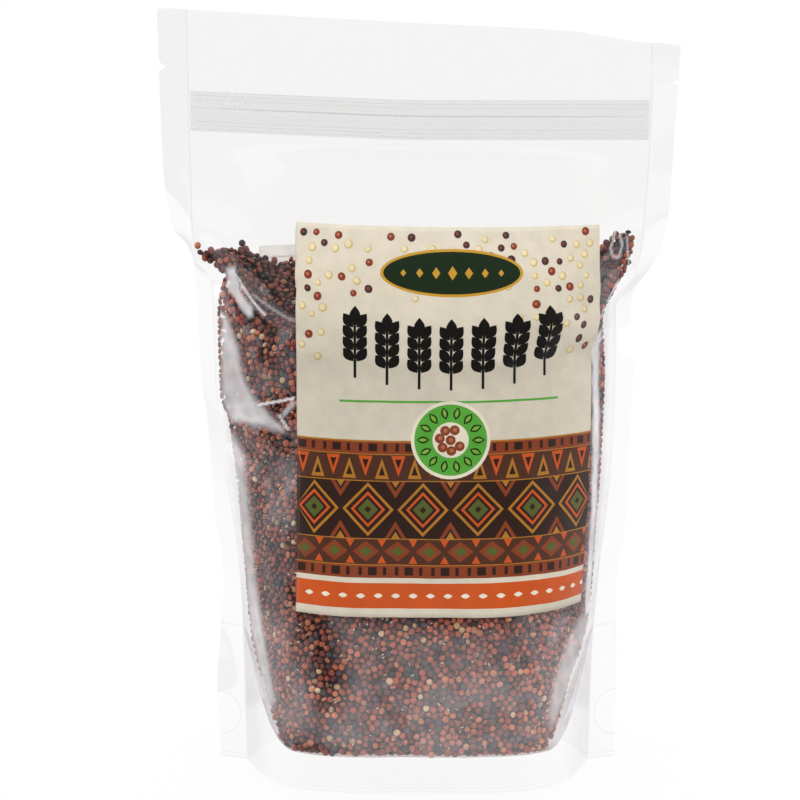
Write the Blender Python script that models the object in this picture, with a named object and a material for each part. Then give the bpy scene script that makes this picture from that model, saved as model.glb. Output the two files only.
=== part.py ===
"""Clear stand-up pouch of red quinoa with a press zip, a front label and a back label.

Metres, +Z up, the front faces -Y, origin under the middle of the base on the floor.
The pouch is one closed solid for film and contents.  Its film is described in the flat
bag's own terms: `across` is the distance along the film from the bag's middle line, and
`height` is the level above the floor.
"""

import bmesh
import bpy
import numpy as np
from mathutils import Matrix

MM = 0.001

# The flat bag
POUCH_WIDTH = 142 * MM
SIDE_SEAL = 8 * MM
SHEET = 0.8 * MM  # sealed film, drawn thicker than real so that it stays a solid
TOP_HEIGHT = 204 * MM
GUSSET_HEIGHT = 38 * MM
SKIRT_HEIGHT = 10 * MM
GUSSET_SAG = 4 * MM  # how far the base film hangs below its seal, clear of the floor

HALF_WIDTH = POUCH_WIDTH / 2
HALF_TUBE = HALF_WIDTH - SIDE_SEAL

# How the filled bag stands: (height, value) in millimetres, joined by smooth curves
FRONT_DEPTH = ((0, 33.5), (12, 34), (45, 31.5), (100, 27.4), (121, 26.5), (137, 21.5),
               (152, 14), (163, 7), (171, 0.6), (176, 0))
BACK_DEPTH = ((0, 33.5), (12, 34), (45, 31), (100, 26), (128, 24), (142, 18.5),
              (155, 12), (164, 6), (171, 0.6), (176, 0))
LEFT_SEAM = ((0, 48), (30, 48.6), (53, 49.6), (86, 54), (103, 55.6), (137, 57), (147, 60.6),
             (171, 62.4), (204, 63))
RIGHT_SEAM = ((0, 46.6), (30, 47.4), (53, 49.2), (86, 52.4), (114, 53.4), (129, 54), (143, 58.6),
              (155, 61), (171, 62.2), (204, 63))
LEFT_EDGE = ((0, 55.4), (20, 56.3), (36, 55.4), (53, 54.6), (69, 56.9), (86, 58), (97, 58.8),
             (103, 59.9), (130, 61.3), (137, 61.7), (142, 63.8), (147, 67.6), (163, 69.8), (204, 71))
RIGHT_EDGE = ((0, 54), (30, 54.6), (47, 54.4), (64, 56.6), (91, 57.8), (112, 58.7), (126, 57.6),
              (130, 58.3), (137, 63), (142, 65.6), (153, 67.8), (171, 69), (186, 70), (204, 71))
SQUARENESS = ((0, 5.4), (20, 4.9), (50, 3.8), (90, 2.8), (118, 2.7), (130, 3.5), (147, 2.6), (171, 2.2))

# The flat top: how its edge and its zip line leave the level, and how far it bows
TOP_EDGE_TILT = ((-71, 4.2), (-30, 1.9), (0, 0.3), (26, -1.0), (40, -2.1), (52, -4.2), (61, -5.7), (71, -6))
ZIP_TILT = ((-71, 2.6), (-30, 1.0), (0, 0.0), (71, -0.3))
TOP_BOW = 4 * MM
CORNER_CURL = 7 * MM

# Press zip: two ribbed strips, one on each face of the flat top
ZIP_HEIGHT = 178.2 * MM  # middle of the strip, on the bag's middle line
ZIP_BAND = 11 * MM
ZIP_FLANGE = 0.45 * MM
ZIP_RIB = 0.35 * MM
ZIP_RIDGE = 0.7 * MM
ZIP_END = 0.6 * MM
GAP = 0.4 * MM  # kept between touching pieces

# Tear notches in the side seals
NOTCH_WIDTH = 2.4 * MM
NOTCH_DEPTH = 2 * MM
NOTCH_HEIGHTS = {"left": 189.4 * MM, "right": 188.7 * MM}

# Labels: middle, as across and height on the film, then width, height and turn in radians
LABEL_THICKNESS = 0.35 * MM
FRONT_LABEL = (8.1 * MM, 99.4 * MM, 82.5 * MM, 103 * MM, 0.009)
BACK_LABEL = (-4.2 * MM, 90.3 * MM, 82.5 * MM, 102.5 * MM, 0.0)

# Dents and folds in the film: start and end as across and height, width and depth
FRONT_FOLDS = (
    (-60, 139, -40, 124, 5.0, 2.2),  # shoulder fold at the left of the fill line
    (-58, 91, -38, 84, 4.0, 1.5),  # short fold beside the label
    (-56, 74, -46, 52, 5.0, 1.2),  # slack left side
    (56, 122, 57, 60, 4.0, 1.6),  # long upright fold at the right of the label
    (44, 128, 60, 141, 5.0, 2.0),  # shoulder fold at the right of the fill line
    (32, 45, 52, 48, 4.0, 1.6),  # dimple under the label's right corner
    (-36, 15, -26, 14, 4.0, 1.2),  # dimple in the left bottom corner
)
BACK_FOLDS = (
    (-58, 134, -42, 126, 5.0, 1.8),
    (44, 124, 58, 134, 5.0, 1.8),
    (44, 84, 58, 90, 4.0, 1.4),
    (-58, 60, -44, 52, 5.0, 1.2),
)


def curve_through(knots, at):
    """Smooth curve through (place, value) knots with no overshoot between them."""
    place, value = np.array(knots, float).T * MM
    step = np.diff(value) / np.diff(place)
    slope = np.concatenate(([step[0]], np.zeros(len(place) - 2), [step[-1]]))
    same_way = step[:-1] * step[1:] > 0
    both = 2 * step[:-1] * step[1:]
    total = np.where(same_way, step[:-1] + step[1:], 1)
    slope[1:-1] = np.where(same_way, both / total, 0)
    at = np.clip(at, place[0], place[-1])
    i = np.clip(np.searchsorted(place, at) - 1, 0, len(place) - 2)
    width = place[i + 1] - place[i]
    t = (at - place[i]) / width
    return (value[i] * (1 + 2 * t) * (1 - t) ** 2 + value[i + 1] * (3 - 2 * t) * t ** 2
            + width * (slope[i] * t * (1 - t) ** 2 - slope[i + 1] * (1 - t) * t ** 2))


def plain_curve(knots, at):
    """The same curve for knots whose value is a plain number."""
    return curve_through(knots, at) / MM


def ease(low, high, at):
    """0 below low, 1 above high, and a smooth step between."""
    t = np.clip((at - low) / (high - low), 0, 1)
    return t * t * (3 - 2 * t)


def folds(table, across, height):
    """Depth of the dents at a place: a round trough along each fold, fading at its ends."""
    depth = np.zeros(np.broadcast(across, height).shape)
    for x0, z0, x1, z1, width, deep in table:
        start = np.array((x0, z0)) * MM
        run = np.array((x1, z1)) * MM - start
        length = np.hypot(*run)
        along = ((across - start[0]) * run[0] + (height - start[1]) * run[1]) / length
        beside = ((across - start[0]) * run[1] - (height - start[1]) * run[0]) / length
        past = np.maximum(0, np.maximum(-along, along - length))
        depth += deep * MM * np.exp(-(beside ** 2 + past ** 2) / (width * MM) ** 2)
    return depth


def tube_share(across, height, depth):
    """Where a film point falls between the seams (-1 to 1): the film keeps its length over
    the bulge y = depth * (1 - |share| ** squareness), so the share is read from arc length."""
    power = plain_curve(SQUARENESS, height)
    half = (curve_through(LEFT_SEAM, height) + curve_through(RIGHT_SEAM, height)) / 2
    share = np.linspace(0, 1, 201)
    table = depth[..., None] * (1 - share ** power[..., None])
    step = np.hypot(np.diff(share) * half[..., None], np.diff(table, axis=-1))
    length = np.cumsum(step, axis=-1) / step.sum(axis=-1, keepdims=True)
    wanted = np.abs(across) / HALF_TUBE
    found = np.minimum((length < wanted[..., None]).sum(axis=-1), 199)[..., None]
    after = np.take_along_axis(length, found, -1)[..., 0]
    before = np.where(found > 0, np.take_along_axis(length, np.maximum(found - 1, 0), -1), 0)[..., 0]
    part = (found[..., 0] + (wanted - before) / (after - before)) / 200
    return np.sign(across) * np.clip(part, 0, 1), power


def film(across, height, face):
    """Points of the film's outer face: face is -1 for the front and 1 for the back.
    across and height are arrays of one shape."""
    across, height = np.broadcast_arrays(np.asarray(across, float), np.asarray(height, float))
    front = face < 0
    depth = curve_through(FRONT_DEPTH if front else BACK_DEPTH, height)
    tube = np.clip(across, -HALF_TUBE, HALF_TUBE)
    share, power = tube_share(tube, height, depth)
    left, right = curve_through(LEFT_SEAM, height), curve_through(RIGHT_SEAM, height)
    x = (right - left) / 2 * share ** 2 + share * (left + right) / 2
    bulge = depth * (1 - np.abs(share) ** power)
    dent = folds(FRONT_FOLDS if front else BACK_FOLDS, across, height)
    bulge = bulge - np.minimum(dent, bulge * 0.45)
    # the side seals stand out past the seams and lean back where they are drawn in
    out = np.clip((np.abs(across) - HALF_TUBE) / SIDE_SEAL, 0, 1)
    edge = np.where(across < 0, curve_through(LEFT_EDGE, height), curve_through(RIGHT_EDGE, height))
    seam = np.where(across < 0, left, right)
    reach = np.minimum(edge - seam, SIDE_SEAL)
    x = x + np.sign(across) * out * reach
    lean = out * np.sqrt(np.maximum(SIDE_SEAL ** 2 - reach ** 2, 0))
    # above the fill the two films lie together, bowed and a little tilted
    flat = ease(0.13, 0.2, height)
    above_zip = ease(ZIP_HEIGHT + ZIP_BAND / 2, TOP_HEIGHT, height)
    zip_tilt = curve_through(ZIP_TILT, across)
    tilt = zip_tilt * ease(0.12, 0.17, height) + (curve_through(TOP_EDGE_TILT, across) - zip_tilt) * above_zip
    bow = flat * TOP_BOW * (across / HALF_WIDTH) ** 2
    curl = CORNER_CURL * ease(0.02, 0.07, across) * above_zip
    y = lean + bow + curl + face * (SHEET / 2 + bulge)
    return np.stack([x, y, height + tilt], axis=-1)


def inner_film(across, height, face):
    """The inner face of a skirt, one sheet thickness inside the film; the two skirts' inner
    faces meet on the seams."""
    points = film(across, height, face)
    points[..., 1] -= face * SHEET
    ends = np.abs(across) >= HALF_TUBE * 0.999
    middle = (film(across, height, -1) + film(across, height, 1)) / 2
    points[ends] = middle[ends]
    return points


def rows_and_columns(columns, rows):
    """A grid of across and height values, one height in each row."""
    return np.meshgrid(np.asarray(columns, float), np.asarray(rows, float))


def outward(across, height, face):
    """Unit vectors that point out of the film, from its slopes along both directions."""
    small = 0.1 * MM
    along = film(across + small, height, face) - film(across - small, height, face)
    up = film(across, height + small, face) - film(across, height - small, face)
    normal = np.cross(along, up) * -face
    return normal / np.linalg.norm(normal, axis=-1, keepdims=True)


def gusset_edge(across):
    """Height of the curved base seal: low at the front, up to the gusset fold at the sides."""
    start = 33 * MM
    rise = ease(start, HALF_TUBE + 8 * MM, np.abs(across)) / ease(start, HALF_TUBE + 8 * MM, HALF_TUBE)
    return SKIRT_HEIGHT + (GUSSET_HEIGHT - SKIRT_HEIGHT) * np.minimum(rise, 1)


def gusset_rows(columns, count):
    """The gusset film seen from below: it hangs a little between the base seals of the skirts
    and rises like a boat to the fold at both ends.  One row of points for each step across y."""
    edge = gusset_edge(columns)
    front, back = inner_film(columns, edge, -1), inner_film(columns, edge, 1)
    sag = GUSSET_SAG * (1 - (np.abs(columns) / HALF_TUBE) ** 6)
    rows = []
    for t in np.linspace(-1, 1, count):
        point = front * (1 - t) / 2 + back * (1 + t) / 2
        point[:, 2] = edge - sag * (1 - abs(t) ** 1.3)
        rows.append(point)
    return np.array(rows)


def new_object(name, mesh, colour, roughness, alpha=1.0):
    """An object with its own Principled material."""
    material = bpy.data.materials.new(name)
    material.use_nodes = True
    shader = material.node_tree.nodes["Principled BSDF"]
    shader.inputs["Base Color"].default_value = (*colour, 1)
    shader.inputs["Roughness"].default_value = roughness
    shader.inputs["Metallic"].default_value = 0
    shader.inputs["Alpha"].default_value = alpha
    mesh.materials.append(material)
    mesh.shade_smooth()
    mesh.set_sharp_from_angle(angle=np.radians(40))
    thing = bpy.data.objects.new(name, mesh)
    bpy.context.scene.collection.objects.link(thing)
    return thing


def welded_mesh(name, points, faces):
    """A mesh whose coinciding points are joined and whose faces point outwards."""
    mesh = bpy.data.meshes.new(name)
    mesh.from_pydata([tuple(p) for p in points], [], faces)
    shape = bmesh.new()
    shape.from_mesh(mesh)
    bmesh.ops.remove_doubles(shape, verts=shape.verts, dist=0.005 * MM)
    bmesh.ops.dissolve_degenerate(shape, edges=shape.edges, dist=0.005 * MM)
    bmesh.ops.recalc_face_normals(shape, faces=shape.faces)
    bmesh.ops.triangulate(shape, faces=[f for f in shape.faces if len(f.verts) > 3])
    shape.to_mesh(mesh)
    shape.free()
    return mesh


class Patchwork:
    """Collects grids of points and joins each into quads."""

    def __init__(self):
        self.points = []
        self.faces = []

    def grid(self, rows):
        """Adds a grid of points, rows by columns by 3."""
        rows = np.asarray(rows)
        first, wide = len(self.points), rows.shape[1]
        self.points.extend(rows.reshape(-1, 3))
        for r in range(rows.shape[0] - 1):
            for c in range(wide - 1):
                at = first + r * wide + c
                self.faces.append((at, at + 1, at + wide + 1, at + wide))

    def face(self, corners):
        """Adds one face."""
        first = len(self.points)
        self.points.extend(corners)
        self.faces.append(tuple(range(first, first + len(corners))))


def pouch_columns():
    """Places across the film: the seal's edge and seam, then closer steps near the seams."""
    spread = np.sin(np.linspace(-1, 1, 33) * np.pi / 2 * 0.8) / np.sin(np.pi / 2 * 0.8)
    return np.concatenate(([-HALF_WIDTH], spread * HALF_TUBE, [HALF_WIDTH]))


def pouch_rows():
    """Heights: closer together at the base, at the shoulder and where the bag closes."""
    stops = ((0, 40, 8), (40, 112, 13), (112, 172, 15), (172, 204, 6))
    parts = [np.linspace(low, high, count, endpoint=False) for low, high, count in stops]
    return np.append(np.concatenate(parts), 204) * MM


def make_pouch():
    """Front and back film, joined at the sides and top, with skirts round a raised gusset."""
    across, height = rows_and_columns(pouch_columns(), pouch_rows())
    front, back = film(across, height, -1), film(across, height, 1)
    shape = Patchwork()
    for sheet in (front, back):
        shape.grid(sheet)
    for side in (np.s_[:, 0], np.s_[:, -1], np.s_[-1]):
        shape.grid(np.stack([front[side], back[side]]))
    # under the bag: the skirts' lower edges and inner faces, and the gusset between them
    tube = pouch_columns()[1:-1]
    levels = gusset_edge(tube) * np.linspace(0, 1, 4)[:, None]
    inner_front = inner_film(np.broadcast_to(tube, levels.shape), levels, -1)
    inner_back = inner_film(np.broadcast_to(tube, levels.shape), levels, 1)
    for inner, outer in ((inner_front, front), (inner_back, back)):
        shape.grid(inner)
        shape.grid(np.stack([outer[0, 1:-1], inner[0]]))
    shape.grid(gusset_rows(tube, 11))
    # the lower ends of the two side seals
    for outside, seam, inside in ((0, 1, 0), (-1, -2, -1)):
        shape.face([front[0, outside], front[0, seam], inner_front[0, inside], back[0, seam],
                    back[0, outside]])
    pouch = new_object("pouch", welded_mesh("pouch", shape.points, shape.faces), (0.36, 0.13, 0.09), 0.25)
    cut_notch(pouch, "left", -HALF_WIDTH)
    cut_notch(pouch, "right", HALF_WIDTH)
    return pouch


def cut_notch(pouch, side, across):
    """A V-shaped tear notch through the side seal."""
    at = film(across, NOTCH_HEIGHTS[side], 1)
    mesh = bpy.data.meshes.new("notch_" + side)
    shape = bmesh.new()
    bmesh.ops.create_cone(shape, cap_ends=True, segments=4, radius1=1, radius2=1, depth=24 * MM)
    bmesh.ops.rotate(shape, verts=shape.verts, matrix=Matrix.Rotation(np.pi / 2, 3, "X"))
    bmesh.ops.scale(shape, verts=shape.verts, vec=(NOTCH_DEPTH, 1, NOTCH_WIDTH / 2))
    bmesh.ops.translate(shape, verts=shape.verts, vec=tuple(at))
    shape.to_mesh(mesh)
    shape.free()
    cutter = bpy.data.objects.new("notch_" + side, mesh)
    cutter.hide_render = True
    cutter.display_type = "WIRE"
    bpy.context.scene.collection.objects.link(cutter)
    cut = pouch.modifiers.new("notch_" + side, "BOOLEAN")
    cut.object = cutter
    cut.operation = "DIFFERENCE"
    cut.solver = "EXACT"


def closed_sheet(inner, outer):
    """A closed body between two grids of points of one size."""
    shape = Patchwork()
    shape.grid(inner)
    shape.grid(outer)
    for side in (np.s_[0], np.s_[-1], np.s_[:, 0], np.s_[:, -1]):
        shape.grid(np.stack([inner[side], outer[side]]))
    return shape


def make_label(name, place, face, colour):
    """A thin label that lies on the film, stuck on a little askew."""
    middle, level, width, tall, turn = place
    u, v = np.meshgrid(np.linspace(-width / 2, width / 2, 19), np.linspace(-tall / 2, tall / 2, 23))
    across = middle + u * np.cos(turn) + v * np.sin(turn)
    height = level - u * np.sin(turn) + v * np.cos(turn)
    base, out = film(across, height, face), outward(across, height, face)
    shape = closed_sheet(base + out * GAP, base + out * (GAP + LABEL_THICKNESS))
    return new_object(name, welded_mesh(name, shape.points, shape.faces), colour, 0.35)


def zip_profile():
    """The strip's section as (height above its lower edge, thickness), bottom to top:
    fine ribs on both flanges and one deep ridge in the middle."""
    middle = ZIP_BAND / 2
    points = [(0, ZIP_FLANGE)]
    for centre in (middle - 3.6 * MM, middle, middle + 3.6 * MM):
        tall = ZIP_RIDGE if centre == middle else ZIP_RIB
        wide = 0.9 * MM if centre == middle else 0.35 * MM
        points += [(centre - wide, ZIP_FLANGE), (centre - wide / 2, ZIP_FLANGE + tall),
                   (centre + wide / 2, ZIP_FLANGE + tall), (centre + wide, ZIP_FLANGE)]
    return points + [(ZIP_BAND, ZIP_FLANGE)]


def make_zip(name, face):
    """One ribbed zip strip, which runs from seam to seam across the flat top."""
    rise, thickness = np.array(zip_profile()).T
    ends = HALF_TUBE - ZIP_END
    across, height = rows_and_columns(np.linspace(-ends, ends, 15), ZIP_HEIGHT - ZIP_BAND / 2 + rise)
    base, out = film(across, height, face), outward(across, height, face)
    shape = closed_sheet(base + out * GAP, base + out * (GAP + thickness[:, None, None]))
    return new_object(name, welded_mesh(name, shape.points, shape.faces), (0.9, 0.89, 0.87), 0.3)


def main():
    for thing in list(bpy.data.objects):
        bpy.data.objects.remove(thing)
    make_pouch()
    make_zip("zip_strip_front", -1)
    make_zip("zip_strip_back", 1)
    make_label("label_front", FRONT_LABEL, -1, (0.62, 0.55, 0.44))
    make_label("label_back", BACK_LABEL, 1, (0.78, 0.75, 0.7))


main()
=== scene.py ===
# %% [markdown]
# # A clear stand-up pouch of red quinoa
# This lesson dresses a plain solid pouch as the real thing: two sheets of clear film welded at
# the sides, a press zip, grain that shows through the film, and a printed label on each face.

import bpy
import numpy as np
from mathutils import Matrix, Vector
from mathutils.geometry import delaunay_2d_cdt


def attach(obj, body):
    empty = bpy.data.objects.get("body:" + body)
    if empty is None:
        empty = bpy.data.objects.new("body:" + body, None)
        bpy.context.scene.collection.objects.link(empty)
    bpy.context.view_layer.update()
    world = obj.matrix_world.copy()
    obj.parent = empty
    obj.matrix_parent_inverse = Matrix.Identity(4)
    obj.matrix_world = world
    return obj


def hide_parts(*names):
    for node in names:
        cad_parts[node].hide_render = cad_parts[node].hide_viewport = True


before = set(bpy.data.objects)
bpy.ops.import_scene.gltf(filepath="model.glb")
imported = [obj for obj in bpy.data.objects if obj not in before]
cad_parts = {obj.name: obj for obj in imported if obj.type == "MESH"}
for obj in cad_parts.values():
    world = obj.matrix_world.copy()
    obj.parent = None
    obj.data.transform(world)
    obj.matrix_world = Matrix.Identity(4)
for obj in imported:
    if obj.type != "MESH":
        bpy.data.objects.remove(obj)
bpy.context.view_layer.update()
MM = 0.001

# %% [markdown]
# ## How a filled bag stands
# Film bends but doesn't stretch.  So the bag is described flat, by the distance `across` the film
# from its middle line and by the height, and a function says where each film point ends up.
# Each curve below is a list of (height, value) in millimetres, joined smoothly.

# %% Sizes of the flat bag and curves of the standing one
HALF_WIDTH, HALF_TUBE, SEAL = 71.0, 63.0, 8.0
TOP = 204.0
FRONT_DEPTH = ((0, 33.5), (12, 34), (45, 31.5), (100, 27.4), (121, 26.5), (137, 21.5),
               (152, 14), (163, 7), (171, 0.6), (176, 0))
BACK_DEPTH = ((0, 33.5), (12, 34), (45, 31), (100, 26), (128, 24), (142, 18.5),
              (155, 12), (164, 6), (171, 0.6), (176, 0))
LEFT_SEAM = ((0, 48), (30, 48.6), (53, 49.6), (86, 54), (103, 55.6), (134, 56.6), (140, 61.4),
             (147, 61.8), (171, 62.4), (204, 63))
RIGHT_SEAM = ((0, 46.6), (30, 47.4), (53, 49.2), (86, 52.4), (114, 53.2), (127, 53.2), (137, 58.6),
              (143, 60), (155, 61), (171, 62.2), (204, 63))
LEFT_EDGE = ((0, 55.4), (20, 56.3), (36, 55.4), (53, 54.6), (69, 56.9), (86, 58), (97, 58.8),
             (103, 59.9), (130, 61.3), (137, 61.9), (142, 63.8), (147, 67.6), (163, 69.8), (204, 71))
RIGHT_EDGE = ((0, 54), (30, 54.6), (47, 54.4), (64, 56.6), (91, 57.8), (112, 58.7), (126, 57.6),
              (130, 58.3), (137, 63), (142, 65.6), (153, 67.8), (171, 69), (186, 70), (204, 71))
SQUARENESS = ((0, 5.4), (20, 4.9), (50, 3.8), (90, 2.8), (118, 2.7), (130, 3.5), (147, 2.6), (171, 2.2))
TOP_EDGE_TILT = ((-71, 4.2), (-30, 1.9), (0, 0.3), (26, -1.0), (40, -2.1), (52, -4.2), (61, -5.7), (71, -6))
ZIP_TILT = ((-71, 2.6), (-30, 1.0), (0, 0.0), (71, -0.3))
ZIP_HEIGHT = 178.2
# How far the stiff front label draws the slack film outwards on each side of it
PULL_LEFT = ((0, 0), (60, 0.8), (100, 0), (120, 0), (126, -0.7), (133, -0.4), (136, -0.6), (140, -2.0),
             (144, -1.1), (148, -0.3), (160, 0))
PULL_RIGHT = ((0, 0.6), (48, 1.1), (60, 1.4), (75, 1.7), (100, 1.6), (117, 1.5), (121, 2.7), (126, 3.3),
              (132, 1.6), (136, 0), (140, -0.8), (150, -0.6), (160, 0))
SKIRT, FOLD_HEIGHT, SAG = 10.0, 38.0, 4.0
# The base seal rises between these two distances from the middle line
RISE_FROM, RISE_TO = 33.0, 71.0
# A half circle is punched into each side edge near the foot
HOLE_HEIGHT, HOLE_RADIUS = 13.0, 6.4
# The film's own map has this size, with the middle line of the bag in its middle
MAP_WIDE, MAP_TALL = 200.0, 250.0


def curve(knots, at):
    """A smooth curve through the knots: a cubic between each two, whose slope at a knot is the
    harmonic mean of the slopes beside it, or level where those differ in sign."""
    place, value = np.array(knots, float).T
    step = np.diff(value) / np.diff(place)
    slope = np.concatenate(([step[0]], np.zeros(len(place) - 2), [step[-1]]))
    same_way = step[:-1] * step[1:] > 0
    total = np.where(same_way, step[:-1] + step[1:], 1)
    slope[1:-1] = np.where(same_way, 2 * step[:-1] * step[1:] / total, 0)
    at = np.clip(at, place[0], place[-1])
    i = np.clip(np.searchsorted(place, at) - 1, 0, len(place) - 2)
    width = place[i + 1] - place[i]
    t = (at - place[i]) / width
    return (value[i] * (1 + 2 * t) * (1 - t) ** 2 + value[i + 1] * (3 - 2 * t) * t ** 2
            + width * (slope[i] * t * (1 - t) ** 2 - slope[i + 1] * (1 - t) * t ** 2))


def ease(low, high, at):
    """0 below low, 1 above high, and 3t^2 - 2t^3 between them."""
    t = np.clip((at - low) / (high - low), 0, 1)
    return t * t * (3 - 2 * t)


# %% [markdown]
# ## Folds and creases
# A filled bag is never smooth.  Broad dents come from slack film, and thin creases stand where
# the film is bent hard.  Both are bell-shaped troughs or ridges along a straight run, and the
# film function adds them up.

# %% Folds: start and end (across, height), width, and depth inwards, in millimetres
FRONT_FOLDS = (
    (-60, 139, -40, 124, 5.0, 2.2), (-58, 91, -38, 84, 4.0, 1.5), (-56, 74, -46, 52, 5.0, 1.2),
    (56, 122, 57, 60, 4.0, 1.6), (44, 128, 60, 141, 5.0, 2.0), (32, 45, 52, 48, 4.0, 1.6),
    (-36, 15, -26, 14, 4.0, 1.2),
    # softer ridges and hollows between them
    (-46, 122, -30, 118, 3.0, -0.6), (-55, 100, -36, 94, 3.0, 1.0), (-30, 119, 20, 116, 3.4, -0.5),
    (20, 116, 50, 121, 3.2, -0.6), (47, 116, 53, 104, 2.6, 0.8), (-2, 121, 10, 112, 3.4, 0.4),
    (-30, 150, 40, 158, 9.0, 0.4), (-56, 160, -30, 150, 6.0, 0.3), (30, 150, 56, 160, 6.0, 0.4),
    (-52, 36, -44, 22, 3.5, 0.8), (46, 40, 52, 24, 3.5, 0.9), (-10, 24, 30, 22, 6.0, 0.5),
)
BACK_FOLDS = (
    (-58, 134, -42, 126, 5.0, 1.8), (44, 124, 58, 134, 5.0, 1.8), (44, 84, 58, 90, 4.0, 1.4),
    (-58, 60, -44, 52, 5.0, 1.2), (-50, 128, -20, 122, 1.8, -0.7), (-20, 122, 46, 124, 2.2, -0.6),
    (-58, 100, -44, 94, 2.2, 1.0), (40, 60, 56, 50, 2.4, 0.9), (-30, 30, -10, 24, 4.0, 0.6),
)


def folds(table, across, height):
    """The sum of depth * exp(-(distance from the run / width)^2) over all folds."""
    total = np.zeros(np.shape(across))
    for x0, z0, x1, z1, width, deep in table:
        run = np.array((x1 - x0, z1 - z0), float)
        length = np.hypot(*run)
        along = ((across - x0) * run[0] + (height - z0) * run[1]) / length
        beside = ((across - x0) * run[1] - (height - z0) * run[0]) / length
        past = np.maximum(0, np.maximum(-along, along - length))
        total += deep * np.exp(-(beside ** 2 + past ** 2) / width ** 2)
    return total


# Each wave: its height in millimetres, its turn for each millimetre across and up, and its start
WAVES = ((0.16, 0.21, 0.13, 1.3), (0.12, -0.33, 0.09, 0.0), (0.09, 0.11, -0.37, 2.1),
         (0.06, 0.52, 0.47, 0.0), (0.05, 0.83, -0.61, 0.7))


def waves(across, height):
    """The film's faint unevenness: a few long waves of different directions, calmer in the neck."""
    ripple = sum(size * np.sin(a * across + h * height + start) for size, a, h, start in WAVES)
    return (1 - 0.7 * ease(116, 146, height)) * ripple


# %% [markdown]
# ## The film as a function
# At each height a face bulges as depth * (1 - |share| ^ squareness), where share runs from -1 at
# one side seam to 1 at the other.  The arc between the seams always measures the same, because
# film keeps its width, so share is found from the arc length.  A low squareness gives a round
# belly and a high one the flat front of a bag that is packed tight at its base.

# %% Film points and normals
def share_between_seams(across, height, depth):
    """Share at which the arc from the middle is |across| / HALF_TUBE of the whole arc."""
    power = curve(SQUARENESS, height)
    half = (curve(LEFT_SEAM, height) + curve(RIGHT_SEAM, height)) / 2
    share = np.linspace(0, 1, 161)
    bulge = depth[..., None] * (1 - share ** power[..., None])
    length = np.cumsum(np.hypot(np.diff(share) * half[..., None], np.diff(bulge, axis=-1)), axis=-1)
    length /= length[..., -1:]
    wanted = np.abs(across) / HALF_TUBE
    found = np.minimum((length < wanted[..., None]).sum(axis=-1), 159)[..., None]
    after = np.take_along_axis(length, found, -1)[..., 0]
    before = np.where(found > 0, np.take_along_axis(length, np.maximum(found - 1, 0), -1), 0)[..., 0]
    share = (found[..., 0] + (wanted - before) / (after - before)) / 160
    return np.sign(across) * np.clip(share, 0, 1), power


def film(across, height, face, inset=0.0):
    """Film points in metres.  face is -1 for the front, 1 for the back; inset moves them inwards.
    x follows the share, y the bulge less its folds, and the side seals lean back so far that
    they keep their own width; the flat top adds its bow, its tilt and one curled corner."""
    across, height = np.broadcast_arrays(np.asarray(across, float), np.asarray(height, float))
    shape = across.shape
    across, height = across.ravel(), height.ravel()
    pieces = []
    for start in range(0, len(across), 12000):
        a, h = across[start:start + 12000], height[start:start + 12000]
        depth = curve(FRONT_DEPTH if face < 0 else BACK_DEPTH, h)
        share, power = share_between_seams(np.clip(a, -HALF_TUBE, HALF_TUBE), h, depth)
        left, right = curve(LEFT_SEAM, h), curve(RIGHT_SEAM, h)
        x = (right - left) / 2 * share ** 2 + share * (left + right) / 2
        if face < 0:
            pull = np.where(a < 0, -curve(PULL_LEFT, h), curve(PULL_RIGHT, h))
            x = x + pull * np.abs(share) ** 4 * (1 - np.abs(share)) / 0.08
        bulge = depth * (1 - np.abs(share) ** power)
        dent = folds(FRONT_FOLDS if face < 0 else BACK_FOLDS, a, h) + waves(a, h) * np.minimum(bulge / 8, 1)
        bulge = bulge - np.clip(dent, -0.25 * bulge, 0.45 * bulge)
        out = np.clip((np.abs(a) - HALF_TUBE) / SEAL, 0, 1)
        edge = np.where(a < 0, curve(LEFT_EDGE, h), curve(RIGHT_EDGE, h))
        reach = np.minimum(edge - np.where(a < 0, left, right), SEAL)
        x = x + np.sign(a) * out * reach
        lean = out * np.sqrt(np.maximum(SEAL ** 2 - reach ** 2, 0))
        above_zip = ease(ZIP_HEIGHT + 5.5, TOP, h)
        zip_tilt = curve(ZIP_TILT, a)
        tilt = zip_tilt * ease(120, 170, h) + (curve(TOP_EDGE_TILT, a) - zip_tilt) * above_zip
        bow = ease(130, 200, h) * 4 * (a / HALF_WIDTH) ** 2
        y = lean + bow + 7 * ease(20, 70, a) * above_zip + face * (0.4 + np.maximum(bulge - inset, -0.3))
        pieces.append(np.stack([x, y, h + tilt], axis=-1))
    return np.concatenate(pieces).reshape(shape + (3,)) * MM


def outward(across, height, face):
    """Unit normals out of the film: the cross product of its slopes along both directions."""
    along = film(across + 0.15, height, face) - film(across - 0.15, height, face)
    up = film(across, height + 0.15, face) - film(across, height - 0.15, face)
    normal = np.cross(along, up) * -face
    return normal / np.linalg.norm(normal, axis=-1, keepdims=True)


def base_seal(across):
    """Height of the curved weld between skirt and base film: an eased rise to the side fold."""
    top = ease(RISE_FROM, RISE_TO, HALF_TUBE)
    return SKIRT + (FOLD_HEIGHT - SKIRT) * np.minimum(ease(RISE_FROM, RISE_TO, np.abs(across)) / top, 1)


# %% [markdown]
# ## Turning arrays into meshes
# Every piece is worked out as whole arrays of points.  Two helpers put them into Blender: one
# takes any points and faces, the other a grid whose neighbours are joined by four-sided faces.

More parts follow.
